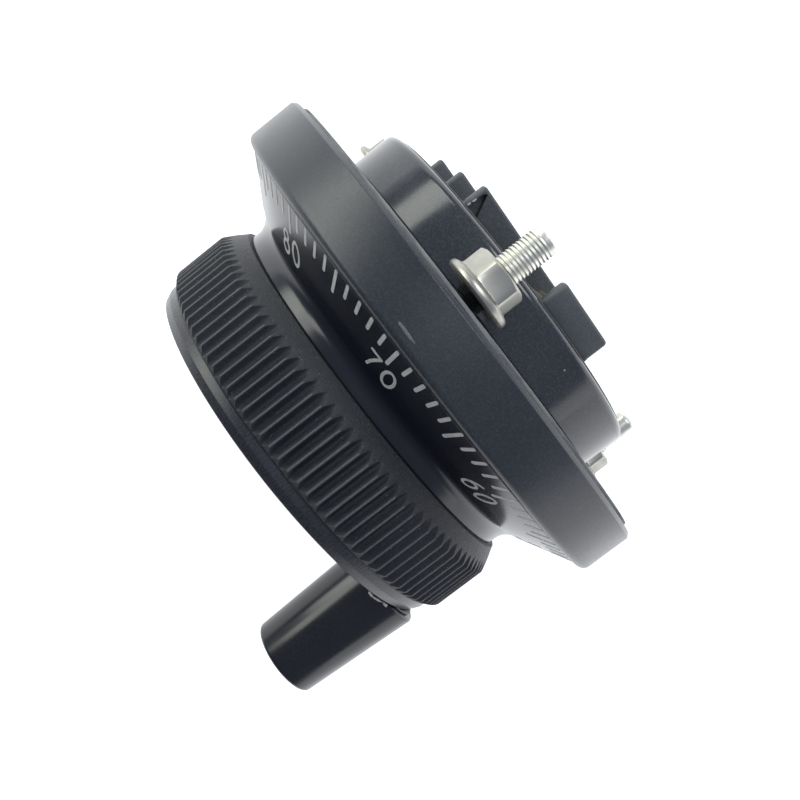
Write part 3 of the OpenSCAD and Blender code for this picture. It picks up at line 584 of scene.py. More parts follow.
def disc_black():
    """Turned and cross-brushed black of the front disc."""
    f = Finish("disc_black")
    place = f.around_axis()
    brush = f.noise(2.4, stretch=(1.0, 0.35, 2.6), detail=4.0, rough=0.7, place=place)
    rings = f.noise(2.0, stretch=(3.0, 3.0, 0.03), detail=3.0, place=place)
    _, colour = f.clouded(0.10, 3.0, (0.0125, 0.0140, 0.0195), (0.0200, 0.0220, 0.0265))
    colour = f.mottle(colour, (0.070, 0.073, 0.078), 0.28, 0.4)
    colour = f.blend(f.spread(brush, 0.62, 0.78, 0.0, 0.5), colour, (0.075, 0.077, 0.08))
    colour = f.specks(colour, 2.2, 0.05, (0.30, 0.31, 0.32))
    f.relief(brush, 0.022)
    f.relief(rings, 0.008)
    return f.surface(colour, brush, 0.23, 0.34)


def grip_black():
    """Polished black of the grip, drawn along its length."""
    f = Finish("grip_black")
    cloud, colour = f.clouded(0.15, 3.0, (0.0045, 0.0050, 0.0085), (0.0075, 0.0080, 0.0115))
    colour = f.mottle(colour, (0.022, 0.024, 0.030), 0.30, 0.5)
    colour = f.specks(colour, 3.0, 0.035, (0.2, 0.2, 0.2))
    f.relief(f.noise(1.2, stretch=(1.0, 0.06, 1.0), detail=3.0), 0.004)
    return f.surface(colour, cloud, 0.17, 0.24)


def moulding(name, low, high, rough):
    """Matte moulded plastic with fine grain, moulding bloom and dust."""
    f = Finish(name)
    pale = tuple(c * 2.6 for c in high)
    cloud, colour = f.clouded(0.25, 4.0, low, high)
    colour = f.mottle(colour, pale, 0.30, 0.35)
    colour = f.worn(colour, 0.53, 0.60, 0.7, pale)
    colour = f.specks(colour, 1.0, 0.06, (0.4, 0.4, 0.4))
    f.relief(f.noise(7.0, detail=3.0), 0.018)
    return f.surface(colour, cloud, rough - 0.06, rough + 0.06)


def rubber():
    """Dusty two-tone rubber of the gasket."""
    f = Finish("rubber")
    dust = f.noise(0.35, detail=5.0, rough=0.65)
    colour = f.blend(f.spread(dust, 0.42, 0.62, 0.0, 1.0), (0.185, 0.190, 0.193), (0.255, 0.260, 0.254))
    f.relief(f.noise(5.0, detail=3.0), 0.03)
    return f.surface(colour, dust, 0.55, 0.8)


def metal(name, base, dark, rough, stretch=(1.0, 1.0, 1.0), gap_shade_to=None):
    """Plated or machined metal with tool marks. Painted shade darkens it below a given y, where it stands in
    the shaded gap in front of the nut.
    """
    f = Finish(name)
    cloud, colour = f.clouded(0.5, 4.0, base, dark)
    colour = f.worn(colour, 0.52, 0.58, 0.6, tuple(min(c * 1.25, 0.92) for c in base))
    # Painted shade: the metal darkens below the given y, where the stud stands in the shaded gap between the
    # gasket and the nut's flange.
    if gap_shade_to is not None:
        _, y, _ = f.split(f.place)
        gap_shade = f.spread(y, gap_shade_to, gap_shade_to + 0.1, 1.0, 0.0)
        colour = f.blend(gap_shade, colour, (0.03, 0.032, 0.036))
    f.relief(f.noise(3.0, stretch=stretch, detail=4.0, rough=0.6), 0.006)
    return f.surface(colour, cloud, rough - 0.05, rough + 0.08, metallic=1.0)


def print_white():
    """Slightly warm white filling of the dial's marks."""
    f = Finish("print_white")
    cloud, colour = f.clouded(1.5, 3.0, (0.50, 0.49, 0.46), (0.62, 0.61, 0.58))
    f.relief(f.noise(9.0, detail=2.0), 0.008)
    return f.surface(colour, cloud, 0.45, 0.6)


def scuffed(name, low, high):
    """Pale chips and scuffs."""
    f = Finish(name)
    cloud, colour = f.clouded(2.5, 4.0, low, high, 0.65)
    f.relief(cloud, 0.05)
    return f.surface(colour, cloud, 0.4, 0.7)


def board_green():
    """Solder-masked circuit board with faint tracks."""
    f = Finish("board_green")
    tracks = f.noise(0.8, stretch=(1.0, 1.0, 0.2), detail=0.0)
    cloud, colour = f.clouded(0.3, 3.0, (0.010, 0.065, 0.030), (0.016, 0.090, 0.042))
    f.relief(f.spread(tracks, 0.48, 0.52, 0.0, 1.0), 0.03)
    return f.surface(colour, cloud, 0.25, 0.35)


def clear_plastic():
    """Smoky plastic of the lamp, sensor and mask."""
    f = Finish("clear_plastic")
    cloud, colour = f.clouded(0.8, 3.0, (0.35, 0.37, 0.40), (0.45, 0.47, 0.50))
    f.relief(cloud, 0.01)
    return f.surface(colour, cloud, 0.12, 0.2)


SATIN = satin_black()
GLOSS = gloss_black()
HOUSING = housing_black()
SAND = sand_black()
DISC = disc_black()
GRIP = grip_black()
BLOCK = moulding("block_moulding", (0.043, 0.049, 0.055), (0.061, 0.067, 0.072), 0.50)
DARK = moulding("dark_moulding", (0.012, 0.013, 0.015), (0.020, 0.021, 0.023), 0.45)
RUBBER = rubber()
ZINC = metal("zinc", (0.44, 0.43, 0.39), (0.36, 0.355, 0.315), 0.38)
# Painted shade darkens the studs up to the first nut's front.
STUD = metal("stud_zinc", (0.80, 0.79, 0.71), (0.68, 0.67, 0.60), 0.40, gap_shade_to=NUT_FRONTS[0])
STEEL = metal("steel", (0.58, 0.59, 0.60), (0.44, 0.45, 0.46), 0.28)
ALUMINIUM = metal("aluminium", (0.62, 0.63, 0.64), (0.50, 0.51, 0.52), 0.34, stretch=(1.0, 5.0, 1.0))
BRASS = metal("brass", (0.72, 0.55, 0.26), (0.55, 0.41, 0.20), 0.30)
PRINT = print_white()
CHIP = scuffed("chip_white", (0.45, 0.44, 0.42), (0.80, 0.79, 0.76))
SMEAR = scuffed("smear_grey", (0.07, 0.07, 0.07), (0.16, 0.155, 0.15))
BOARD = board_green()
CLEAR = clear_plastic()

SLOT_FINISH = {
    "black_painted": SATIN,
    "gloss_black_paint": GLOSS,
    "black_moulding": HOUSING,
    "dark_moulding": DARK,
    "black_rubber": RUBBER,
    "zinc": ZINC,
    "steel": STEEL,
    "aluminium": ALUMINIUM,
    "brass": BRASS,
    "board": BOARD,
    "clear_plastic": CLEAR,
    "capacitor": ALUMINIUM,
}


def finish_cad_nodes():
    """Gives each CAD node its slot's finish."""
    for part in frame["record"]["subparts"]:
        cad = frame["nodes"][part["node"]]
        cad.data.materials.clear()
        cad.data.materials.append(SLOT_FINISH[part["material_slot"]])


# ---- Static pieces ----

def add_bezel():
    profile = outline([
        (PLATE_BORE_R, PLATE_FRONT, 0),
        (BEZEL_BORE_R, PLATE_FRONT, 0.3),
        (BEZEL_BORE_R, BEZEL_FRONT, 0.2),
        (BEZEL_R, BEZEL_FRONT, 1.15),
        (BEZEL_R, BEZEL_REAR - 0.6, 0.2),
        (BEZEL_R - 0.6, BEZEL_REAR, 0.15),
        (PLATE_BORE_R, BEZEL_REAR, 0),
    ])
    return hold(turned("bezel_shell", profile, SATIN), "housing", "black_painted", "bezel")


def add_gasket():
    def ragged(r, y, turn):
        if r < GASKET_R - 1:
            return r
        wave = noise.noise(Vector((math.sin(turn) * 9, y * 2, math.cos(turn) * 9)))
        return r - 0.16 + 0.16 * wave
    profile = outline([
        (GASKET_IN_R, BEZEL_REAR + 0.01, 0),
        (GASKET_R, BEZEL_REAR + 0.01, 0.1),
        (GASKET_R, PANEL_Y, 0.15),
        (GASKET_IN_R, PANEL_Y, 0),
    ])
    piece = turned("gasket_ring", profile, RUBBER, wobble=ragged)
    return hold(piece, "housing", "black_rubber", "panel_gasket")


def add_housing():
    profile = outline([
        (HOUSING_BORE_R, BEZEL_REAR, 0),
        (SPIGOT_R, BEZEL_REAR, 0),
        (SPIGOT_R, PANEL_Y, 0),
        (HOUSING_R - HOUSING_FOOT, PANEL_Y, 0.05),
        (HOUSING_R, 0.0, 0.3),
        (HOUSING_R, HOUSING_REAR, 1.15),
        (COVER_R + COVER_FIT, HOUSING_REAR, 0.1),
        (COVER_R + COVER_FIT, COVER_FRONT, 0),
        (HOUSING_BORE_R, COVER_FRONT, 0),
    ], steps=8)
    return hold(turned("housing_shell", profile, HOUSING), "housing", "black_moulding", "rear_housing")


def add_cover():
    profile = outline([
        (0, COVER_FRONT, 0),
        (COVER_R, COVER_FRONT, 0),
        (COVER_R, COVER_REAR, 0.28),
        (0, COVER_REAR, 0),
    ])
    piece = turned("cover_plate", profile, DARK)
    for i in range(3):
        turn = math.radians(COVER_SCREW_TURN + 120 * i)
        centre = centre_at(COVER_SCREW_AT, turn)
        mouth = COVER_REAR + 1.0
        throat = (COVER_SCREW_R, COVER_REAR - COVER_SINK_DEEP)
        foot = (COVER_SCREW_R, COVER_SCREW_FOOT)
        sink = [(0, COVER_SCREW_FOOT), foot, throat, (COVER_SINK_R, mouth), (0, mouth)]
        carve(piece, turned("sink", sink, DARK, centre, 48))
    return hold(piece, "housing", "black_moulding", "rear_cover")


def stud_radius(index, y, turn):
    """Radius of a stud: a rounded thread, left out in the plate and in the nut, and a plain domed end."""
    front = NUT_FRONTS[index]
    if y < BEZEL_REAR or front + 0.1 < y < front + NUT_H - 0.5:
        return STUD_ROOT_R
    end = STUD_TIPS[index] - y
    phase = (y / STUD_PITCH - turn / (2 * math.pi)) % 1.0
    wave = 0.5 + 0.5 * math.cos(2 * math.pi * phase)
    fade = min(max((end - PLAIN_ENDS[index]) / 0.8, 0.0), 1.0)
    radius = STUD_R - (STUD_R - THREAD_ROOT_R) * (1 - wave) * fade - 0.06 * (1 - fade)
    side = max(STUD_DOMES[index] - end, 0.0) / STUD_DOMES[index]
    dome = STUD_TIP_RS[index] + (STUD_R - STUD_TIP_RS[index]) * math.sqrt(max(1.0 - side ** 2, 0.0))
    return min(radius, dome)


def add_stud(index):
    centre = centre_at(STUD_AT, STUD_TURNS[index])
    tip = STUD_TIPS[index]
    columns = full_turn(40)
    steps = int((tip - STUD_FRONT) / STUD_PITCH * 12)
    rings = [[at(0, STUD_FRONT, 0, centre)]]
    for k in range(steps + 1):
        y = STUD_FRONT + (tip - STUD_FRONT) * k / steps
        rings.append([at(stud_radius(index, y, a), y, a, centre) for a in columns])
    rings.append([at(0, tip, 0, centre)])
    return make_piece(f"stud_{index + 1}", *rings_mesh(rings, False), STUD, 50)


def hex_radius(turn):
    """Distance to a nut's flats at a turn, with slightly rounded corners."""
    from_flat = (turn + math.pi / 6) % (math.pi / 3) - math.pi / 6
    flat = NUT_HALF / math.cos(from_flat)
    return (flat ** -CORNER_SHARP + NUT_CORNER_R ** -CORNER_SHARP) ** (-1 / CORNER_SHARP)


def add_nut(index):
    """A flange nut with chamfered corners and a countersunk thread hole."""
    centre = centre_at(STUD_AT, STUD_TURNS[index])
    lean = STUD_TURNS[index] + math.radians(NUT_TURNS[index])
    columns = full_turn(144)
    chamfer_r = NUT_HALF - 0.12
    front = NUT_FRONTS[index]
    top = front + NUT_H
    flange_top = front + NUT_FLANGE_T

    def ring(radius, y):
        return [at(radius(a) if callable(radius) else radius, y(a) if callable(y) else y, a + lean, centre)
                for a in columns]

    def cut(turn):
        """Y of the corner chamfer at a turn."""
        return top - (hex_radius(turn) - chamfer_r) * 0.62

    rings = [ring(radius, y) for radius, y in (
        (STUD_ROOT_R, front),
        (NUT_FLANGE_R - 0.50, front),
        (NUT_FLANGE_R - 0.20, front + 0.08),
        (NUT_FLANGE_R - 0.04, front + 0.28),
        (NUT_FLANGE_R, front + 0.50),
        (NUT_FLANGE_R - 0.03, front + 0.72),
        (NUT_FLANGE_R - 0.16, flange_top - 0.30),
        (NUT_FLANGE_R - 0.40, flange_top - 0.15),
        (NUT_FILLET_R, flange_top),
        (lambda a: min(hex_radius(a) + 0.08, NUT_FILLET_R - 0.01), flange_top + 0.12),
        (hex_radius, flange_top + 0.30),
        (hex_radius, lambda a: cut(a) - 0.05),
        (lambda a: hex_radius(a) - 0.05, cut),
        (chamfer_r, top - 0.02),
        (chamfer_r - 0.08, top),
        (STUD_R + 0.28, top),
        (STUD_R + 0.05, top - 0.28),
        (STUD_R + 0.05, top - 0.6),
        (STUD_ROOT_R, top - 0.75),
    )]
    return make_piece(f"nut_{index + 1}", *rings_mesh(rings, True), ZINC, 24)


def join(name, parts):
    """Joins pieces of one material into one piece."""
    bm = bmesh.new()
    for part in parts:
        bm.from_mesh(part.data)
    mesh = bpy.data.meshes.new(name)
    bm.to_mesh(mesh)
    bm.free()
    mesh.materials.append(parts[0].data.materials[0])
    for part in parts:
        bpy.data.objects.remove(part)
    return add_object(name, mesh)


def add_fasteners():
    studs = join("stud_set", [add_stud(i) for i in range(3)])
    nuts = join("nut_set", [add_nut(i) for i in range(3)])
    hold(studs, "housing", "zinc", "panel_studs")
    hold(nuts, "housing", "zinc", "flange_nuts")
    return studs


def add_terminal_block():
    """Floor, barriers and end walls of the terminal block, with the broken corner of one barrier."""
    wall = BLOCK_HALF - END_WALL
    inside = BLOCK_HALF - 0.2
    boxes = [((-inside, COVER_REAR, BLOCK_BACK), (inside, BLOCK_FLOOR, BLOCK_FRONT), 0.12)]
    for low, high in ((-BLOCK_HALF, -wall), (wall, BLOCK_HALF)):
        boxes.append(((low, COVER_REAR, BLOCK_BACK), (high, BARRIER_TOP, BLOCK_FRONT), 0.55))
    for x in (-TERMINAL_PITCH, 0.0, TERMINAL_PITCH):
        low = (x - BARRIER_HALF, COVER_REAR, BLOCK_BACK)
        boxes.append((low, (x + BARRIER_HALF, BARRIER_TOP, BARRIER_REACH), 0.45))
    piece = blocks_piece("terminal_body", boxes, BLOCK, TERMINAL_TURN)
    face = TERMINAL_PITCH + BARRIER_HALF
    spin = Matrix.Rotation(TERMINAL_TURN, 3, "Y")
    rings = [[tuple(spin @ Vector((x, y, z))) for y, z in NOTCH] for x in (face - NOTCH_DEEP, face + 0.5)]
    verts, faces = rings_mesh(rings, False)
    faces += [list(range(len(NOTCH))), [len(NOTCH) + k for k in range(len(NOTCH))]]
    carve(piece, make_piece("notch", verts, faces, BLOCK))
    return hold(piece, "housing", "dark_moulding", "terminal_block")


# ---- Dial ----

def dial_y(radius):
    """Y of the cone's surface at a radius."""
    return DIAL_RIM_Y - (DIAL_RIM_R - radius) / math.tan(DIAL_SLOPE)


def add_dial():
    inner = NECK_R - DIAL_WALL
    shift = DIAL_WALL / math.sin(DIAL_SLOPE)
    profile = outline([
        (DIAL_BORE_R, KNOB_REAR, 0),
        (NECK_R, KNOB_REAR, 0.1),
        (NECK_R, NECK_CORNER_Y, NECK_FILLET),
        (DIAL_RIM_R, DIAL_RIM_Y, 0.12),
        (DIAL_RIM_R, DIAL_RIM_Y + 0.6, 0.1),
        (DIAL_RIM_R - (shift - 0.6) * math.tan(DIAL_SLOPE), DIAL_RIM_Y + 0.6, 0),
        (inner, NECK_CORNER_Y + shift - DIAL_WALL / math.tan(DIAL_SLOPE), 0),
        (inner, KNOB_REAR + 2.2, 0),
        (DIAL_BORE_R, KNOB_REAR + 2.2, 0),
    ], steps=10)
    return hold(turned("dial_cone", profile, GLOSS), "handwheel", "gloss_black_paint", "dial_skirt")


def on_cone(across, up, turn, lift):
    """A point on the cone, in millimetres across and up from the numerals' foot."""
    radius = DIGIT_FOOT_R + up * math.sin(DIAL_SLOPE)
    y = dial_y(radius)
    radius_lifted = radius + lift * math.cos(DIAL_SLOPE)
    return at(radius_lifted, y - lift * math.sin(DIAL_SLOPE), turn + across / radius)


def stroke(points, width, turn, closed=False, lift=PRINT_LIFT):
    """Vertices and faces of a round-ended stroke of printing along points on the cone."""
    half = width / 2
    stations = []
    count = len(points)
    for i, point in enumerate(points):
        here = Vector(point)
        before = Vector(points[i - 1]) if closed or i > 0 else here
        after = Vector(points[(i + 1) % count]) if closed or i < count - 1 else here
        along = (after - before).normalized()
        stations.append((here, along, half))
    if not closed:
        first, direction, _ = stations[0]
        last, heading, _ = stations[-1]
        bends = [math.radians(a) for a in (8, 25, 45, 68)]
        head = [(first - direction * half * math.cos(b), direction, half * math.sin(b)) for b in bends]
        tail = [(last + heading * half * math.cos(b), heading, half * math.sin(b)) for b in reversed(bends)]
        stations = head + stations + tail
    rings = []
    for middle, along, reach in stations:
        side = Vector((along.y, -along.x)) * reach
        a = middle + side
        b = middle - side
        rings.append([
            on_cone(a.x, a.y, turn, lift),
            on_cone(b.x, b.y, turn, lift),
            on_cone(b.x, b.y, turn, -PRINT_LIFT),
            on_cone(a.x, a.y, turn, -PRINT_LIFT),
        ])
    verts, faces = rings_mesh(rings, closed)
    if not closed:
        faces.append([0, 1, 2, 3])
        faces.append([len(verts) - 4 + k for k in range(4)])
    return verts, faces


def arc(cx, cy, rx, ry, start, end, steps=20):
    """Points of an elliptical arc; angles in degrees, 0 to the right and 90 up."""
    return [(cx + rx * math.cos(math.radians(start + (end - start) * k / steps)),
             cy + ry * math.sin(math.radians(start + (end - start) * k / steps))) for k in range(steps + 1)]


def oval(cx, cy, rx, ry, steps=28):
    return arc(cx, cy, rx, ry, 0, 360, steps)[:-1]


def digit_strokes(digit):
    """Centre lines of a digit in a box one unit wide and high, as (points, closed)."""
    shapes = {
        "0": [(oval(0.5, 0.5, 0.5, 0.5, 36), True)],
        "1": [([(0.22, 0.80), (0.50, 1.0), (0.50, 0.0)], False)],
        "2": [(arc(0.5, 0.70, 0.45, 0.30, 165, -35, 16) + [(0.08, 0.0), (0.96, 0.0)], False)],
        "3": [(arc(0.48, 0.76, 0.40, 0.24, 150, -80, 14) + arc(0.48, 0.27, 0.47, 0.27, 85, -150, 16), False)],
        "4": [([(0.98, 0.27), (0.02, 0.27), (0.70, 1.0), (0.70, 0.0)], False)],
        "5": [([(0.90, 1.0), (0.20, 1.0), (0.12, 0.56)] + arc(0.48, 0.33, 0.46, 0.33, 130, -150, 18), False)],
        "6": [(oval(0.5, 0.31, 0.47, 0.31), True),
              (arc(0.90, 0.36, 0.86, 0.64, 176, 112, 12), False)],
        "7": [([(0.03, 1.0), (0.97, 1.0)], False),
              ([(0.97, 1.0), (0.66, 0.62), (0.46, 0.30), (0.36, 0.0)], False)],
        "8": [(oval(0.5, 0.77, 0.38, 0.23), True),
              (oval(0.5, 0.27, 0.48, 0.27), True)],
        "9": [(oval(0.5, 0.69, 0.47, 0.31), True),
              (arc(0.10, 0.64, 0.86, 0.64, -4, -68, 12), False)],
    }
    return shapes[digit]


def add_marks():
    """The dial's ticks and its numerals."""
    verts, faces = [], []
    step = 2 * math.pi / DIVISIONS
    slant = math.sin(DIAL_SLOPE)
    for i in range(DIVISIONS):
        inner = LONG_IN_R if i % 5 == 0 else SHORT_IN_R
        low = (inner - DIGIT_FOOT_R) / slant + TICK_W / 2
        high = (TICK_OUT_R - DIGIT_FOOT_R) / slant - TICK_W / 2
        gather(verts, faces, *stroke([(0, low), (0, high)], TICK_W, i * step))
    ticks = hold(make_piece("dial_ticks", verts, faces, PRINT, 60), "handwheel", "gloss_black_paint")
    numerals = [add_numeral(value) for value in range(0, DIVISIONS, 10)]
    return ticks, numerals


def add_numeral(value):
    """One numeral, centred on its tick and readable from the front."""
    text = str(value)
    turn = math.radians((TOP_VALUE - value) * 360 / DIVISIONS)
    width = len(text) * DIGIT_W + (len(text) - 1) * DIGIT_GAP
    verts, faces = [], []
    lift = PRINT_LIFT
    for i, digit in enumerate(text):
        left = -width / 2 + i * (DIGIT_W + DIGIT_GAP) + DIGIT_STROKE / 2
        for points, closed in digit_strokes(digit):
            wide = DIGIT_W - DIGIT_STROKE
            tall = DIGIT_H - DIGIT_STROKE
            path = [(left + x * wide, DIGIT_STROKE / 2 + y * tall) for x, y in points]
            gather(verts, faces, *stroke(path, DIGIT_STROKE, turn, closed, lift))
            lift += 0.003
    piece = make_piece(f"numeral_{value:02d}", verts, faces, PRINT, 60)
    return hold(piece, "handwheel", "gloss_black_paint")


# ---- Knob, disc and grip ----

def tooth_radius(part):
    """Radius of the teeth at a part of one pitch, from -0.5 in a valley over 0 at the crest."""
    reach = abs(part)
    if reach < CREST_HALF:
        return TIP_R - 0.045 * (reach / CREST_HALF) ** 2
    along = (reach - CREST_HALF) / (0.5 - CREST_HALF)
    return TIP_R - 0.045 - (TIP_R - 0.045 - ROOT_R) * math.sin(along * math.pi / 2)


def add_knob():
    """The toothed knob: grooves that run out on the tapered shoulder and into the front chamfer."""
    half = [0.05, 0.085, 0.13, 0.18, 0.24, 0.30, 0.36, 0.43]
    parts = [-0.5] + [-p for p in reversed(half)] + [0.0] + half
    columns = [((i + 0.5 + p) * 2 * math.pi / TEETH, tooth_radius(p)) for i in range(TEETH) for p in parts]
    sides = []
    for turn, r in columns:
        chamfer_y = KNOB_FRONT + r - DISC_R
        taper_y = SHOULDER_FRONT + (TIP_R - r) / SHOULDER_SLOPE
        eased = taper_y + 0.14
        sides.append([
            (FRONT_BORE_R, KNOB_FRONT),
            (DISC_R - 0.12, KNOB_FRONT),
            (DISC_R, KNOB_FRONT + 0.06),
            (r - 0.03, chamfer_y - 0.02),
            (r, chamfer_y + 0.07),
            (r, (chamfer_y + taper_y) / 2),
            (r, taper_y - 0.14),
            (r - 0.016, taper_y),
            (TIP_R - (eased - SHOULDER_FRONT) * SHOULDER_SLOPE, eased),
            (SHOULDER_R + 0.06, KNOB_REAR - 0.36),
            (SHOULDER_R - 0.07, KNOB_REAR - 0.10),
            (SHOULDER_R - 0.27, KNOB_REAR),
            (KNOB_BORE_R, KNOB_REAR),
            (KNOB_BORE_R, WEB_REAR),
            (HUB_R, WEB_REAR),
            (HUB_R, WEB_REAR + HUB_LEN),
            (SHAFT_BORE_R, WEB_REAR + HUB_LEN),
            (SHAFT_BORE_R, KNOB_FRONT + HUB_SCREW_WALL),
            (HUB_SCREW_R, KNOB_FRONT + HUB_SCREW_WALL),
            (HUB_SCREW_R, KNOB_FRONT),
        ])
    rings = [[at(side[j][0], side[j][1], turn) for side, (turn, _) in zip(sides, columns)]
             for j in range(len(sides[0]))]
    piece = make_piece("knob_body", *rings_mesh(rings, True), SAND, 28)
    return hold(piece, "handwheel", "black_painted", "knob")


def add_disc():
    profile = outline([
        (FRONT_BORE_R, DISC_FACE, 0.12),
        (DISC_RIM_R - 0.8, DISC_FACE, 0.05),
        (DISC_RIM_R - 0.5, DISC_FACE + 0.15, 0.05),
        (DISC_RIM_R, DISC_FACE + 1.36, 0.2),
        (DISC_RIM_R, KNOB_FRONT - 0.02, 0.12),
        (FRONT_BORE_R, KNOB_FRONT - 0.02, 0),
    ])
    return hold(turned("disc_face", profile, DISC), "handwheel", "black_painted", "front_disc")


def add_cap():
    front = DISC_FACE + 0.02
    profile = [(0, front)]
    profile += [(CAP_R * k / 8, front + CAP_DOME * (k / 8) ** 2) for k in range(1, 9)]
    profile += [(CAP_R, DISC_FACE + 1.2), (CAP_R - 0.9, DISC_FACE + 1.2)]
    profile += [(CAP_R - 0.9, DISC_FACE + 0.7), (0, DISC_FACE + 0.7)]
    return hold(turned("cap_dome", profile, DARK, count=120), "handwheel", "black_moulding", "centre_cap")


def add_grip():
    profile = outline([
        (PIN_BORE_R, GRIP_REAR, 0),
        (GRIP_BASE_R, GRIP_REAR, 0.5),
        (GRIP_END_R, GRIP_FRONT, 0.6),
        (PIN_HEAD_R, GRIP_FRONT, 0.25),
        (PIN_HEAD_R, GRIP_FRONT + PIN_HEAD_SINK, 0.15),
        (PIN_BORE_R, GRIP_FRONT + PIN_HEAD_SINK, 0),
    ], steps=8)
    piece = turned("grip_body", profile, GRIP, centre_at(GRIP_AT, GRIP_TURN), 160)
    return hold(piece, "grip", "gloss_black_paint", "crank_grip")


# ---- Camera, floor and light ----

def add_camera():
    data = bpy.data.cameras.new("camera")
    data.sensor_fit = "AUTO"
    data.sensor_width = SENSOR
    data.lens = LENS
    data.shift_x = 0.0
    data.shift_y = 0.0
    data.clip_start = 0.005
    data.clip_end = 20.0
    camera = add_object("camera", data)
    back = (CAMERA_AT - CAMERA_AIM).normalized()
    right = CAMERA_UP.cross(back).normalized()
    up = back.cross(right)
    turn = Matrix((right, up, back)).transposed().to_4x4()
    camera.matrix_world = Matrix.Translation(CAMERA_AT) @ turn
    bpy.context.scene.camera = camera
    bpy.context.view_layer.update()
    return camera


def floor_white():
    """White to the camera and in reflections, with room for a soft shadow. Painted light makes it whiter to
    the right.
    """
    material = bpy.data.materials.new("floor_white")
    material.use_nodes = True
    material.node_tree.nodes.clear()
    n = Nodes(material.node_tree)
    path = n.add("ShaderNodeLightPath")
    seen = path.outputs["Is Camera Ray"]
    for ray in ("Is Glossy Ray", "Is Transmission Ray"):
        seen = n.math("MAXIMUM", seen, path.outputs[ray])
    x, _, _ = n.split(n.coordinates("Object"))
    glow = n.add("ShaderNodeEmission")
    # Painted light: the glow rises towards +x, a floor lit more brightly on that side as seen in reflections.
    n.join(n.math("MULTIPLY", seen, n.spread(x, 0.0, GLOW_SPAN, *FLOOR_GLOW)), glow.inputs["Strength"])
    matte = n.add("ShaderNodeBsdfDiffuse")
    matte.inputs["Color"].default_value = (*FLOOR_COLOUR, 1)
    both = n.add("ShaderNodeAddShader")
    n.join(glow.outputs[0], both.inputs[0])
    n.join(matte.outputs[0], both.inputs[1])
    n.join(both.outputs[0], n.add("ShaderNodeOutputMaterial").inputs["Surface"])
    return material


def add_floor():
    mesh = bpy.data.meshes.new("floor")
    low = CAD_BOX[0].z - 0.2 * MM
    corners = ((-1, -1), (1, -1), (1, 1), (-1, 1))
    mesh.from_pydata([(x * FLOOR_REACH, y * FLOOR_REACH, low) for x, y in corners], [], [(0, 1, 2, 3)])
    mesh.materials.append(floor_white())
    floor = add_object("floor", mesh)
    floor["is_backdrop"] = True


def add_world():
    """A pale horizon that fades to a dim even sky, dimmer towards the knob's side."""
    world = bpy.data.worlds.new("studio")
    bpy.context.scene.world = world
    world.use_nodes = True
    n = Nodes(world.node_tree)
    background = n.tree.nodes["Background"]
    _, y, z = n.split(n.coordinates("Generated"))
    sky = n.blend(n.spread(z, *SKY_FADE, 0.0, 1.0, "SMOOTHSTEP"), SKY_LOW, SKY_HIGH)
    n.join(sky, background.inputs["Color"])
    n.join(n.spread(y, *SKY_TURN, SKY_FRONT, 1.0, "SMOOTHSTEP"), background.inputs["Strength"])


def add_lamp(name, place, aim_y, size, radiance, colour):
    """A rectangular soft light of a given radiance, which faces a point on the shaft axis."""
    data = bpy.data.lights.new(name, "AREA")
    data.shape = "RECTANGLE"
    data.size = size[0]
    data.size_y = size[1]
    data.energy = radiance * math.pi * size[0] * size[1]
    data.color = colour
    lamp = add_object(name, data)
    lamp.location = place
    lamp.rotation_euler = (Vector((0, aim_y, 0)) - Vector(place)).to_track_quat("-Z", "Y").to_euler()


def add_lights():
    add_world()
    for lamp in LAMPS:
        add_lamp(*lamp)


# ---- Image points ----

def camera_axes(camera):
    turn = camera.matrix_world.to_3x3()
    return camera.matrix_world.translation.copy(), turn.col[0].copy(), turn.col[1].copy(), turn.col[2].copy()


def ray_to(camera, x, y):
    """Origin and direction of the ray through an image point."""
    origin, right, up, back = camera_axes(camera)
    data = camera.data
    long_side = max(IMAGE_W, IMAGE_H)
    a = x - IMAGE_W / 2 + data.shift_x * long_side
    b = IMAGE_H / 2 - y + data.shift_y * long_side
    c = -long_side * data.lens / data.sensor_width
    return origin, (right * a + up * b + back * c).normalized()


def in_image(camera, point):
    """Where a point in space shows in the image."""
    origin, right, up, back = camera_axes(camera)
    data = camera.data
    long_side = max(IMAGE_W, IMAGE_H)
    d = point - origin
    scale = -long_side * data.lens / data.sensor_width / d.dot(back)
    x = IMAGE_W / 2 - data.shift_x * long_side + d.dot(right) * scale
    y = IMAGE_H / 2 + data.shift_y * long_side - d.dot(up) * scale
    return x, y


def finished(pieces):
    """World-space vertices and faces of finished pieces."""
    depsgraph = bpy.context.evaluated_depsgraph_get()
    verts, faces = [], []
    for piece in pieces:
        ready = piece.evaluated_get(depsgraph)
        mesh = ready.to_mesh()
        spots = [ready.matrix_world @ v.co for v in mesh.vertices]
        gather(verts, faces, spots, [face.vertices for face in mesh.polygons])
        ready.to_mesh_clear()
    return verts, faces


def place_on(camera, name, tree, piece_verts):
    """The place and the normal on a surface under an image point, or nearest its ray."""
    origin, direction = ray_to(camera, *POINTS[name])
    spot, normal, _, _ = tree.ray_cast(origin, direction)
    if spot is None:
        near = min(piece_verts, key=lambda v: ((v - origin).cross(direction)).length)
        spot, normal, _, _ = tree.find_nearest(near)
    return spot, normal


def shown(camera, verts, tree):
    """The vertices that the camera sees, with where they show."""
    origin = camera.matrix_world.translation
    seen = []
    for v in verts:
        d = v - origin
        hit = tree.ray_cast(origin, d.normalized())
        if hit[0] is None or hit[3] > d.length - 0.2 * MM:
            seen.append((v, in_image(camera, v)))
    return seen


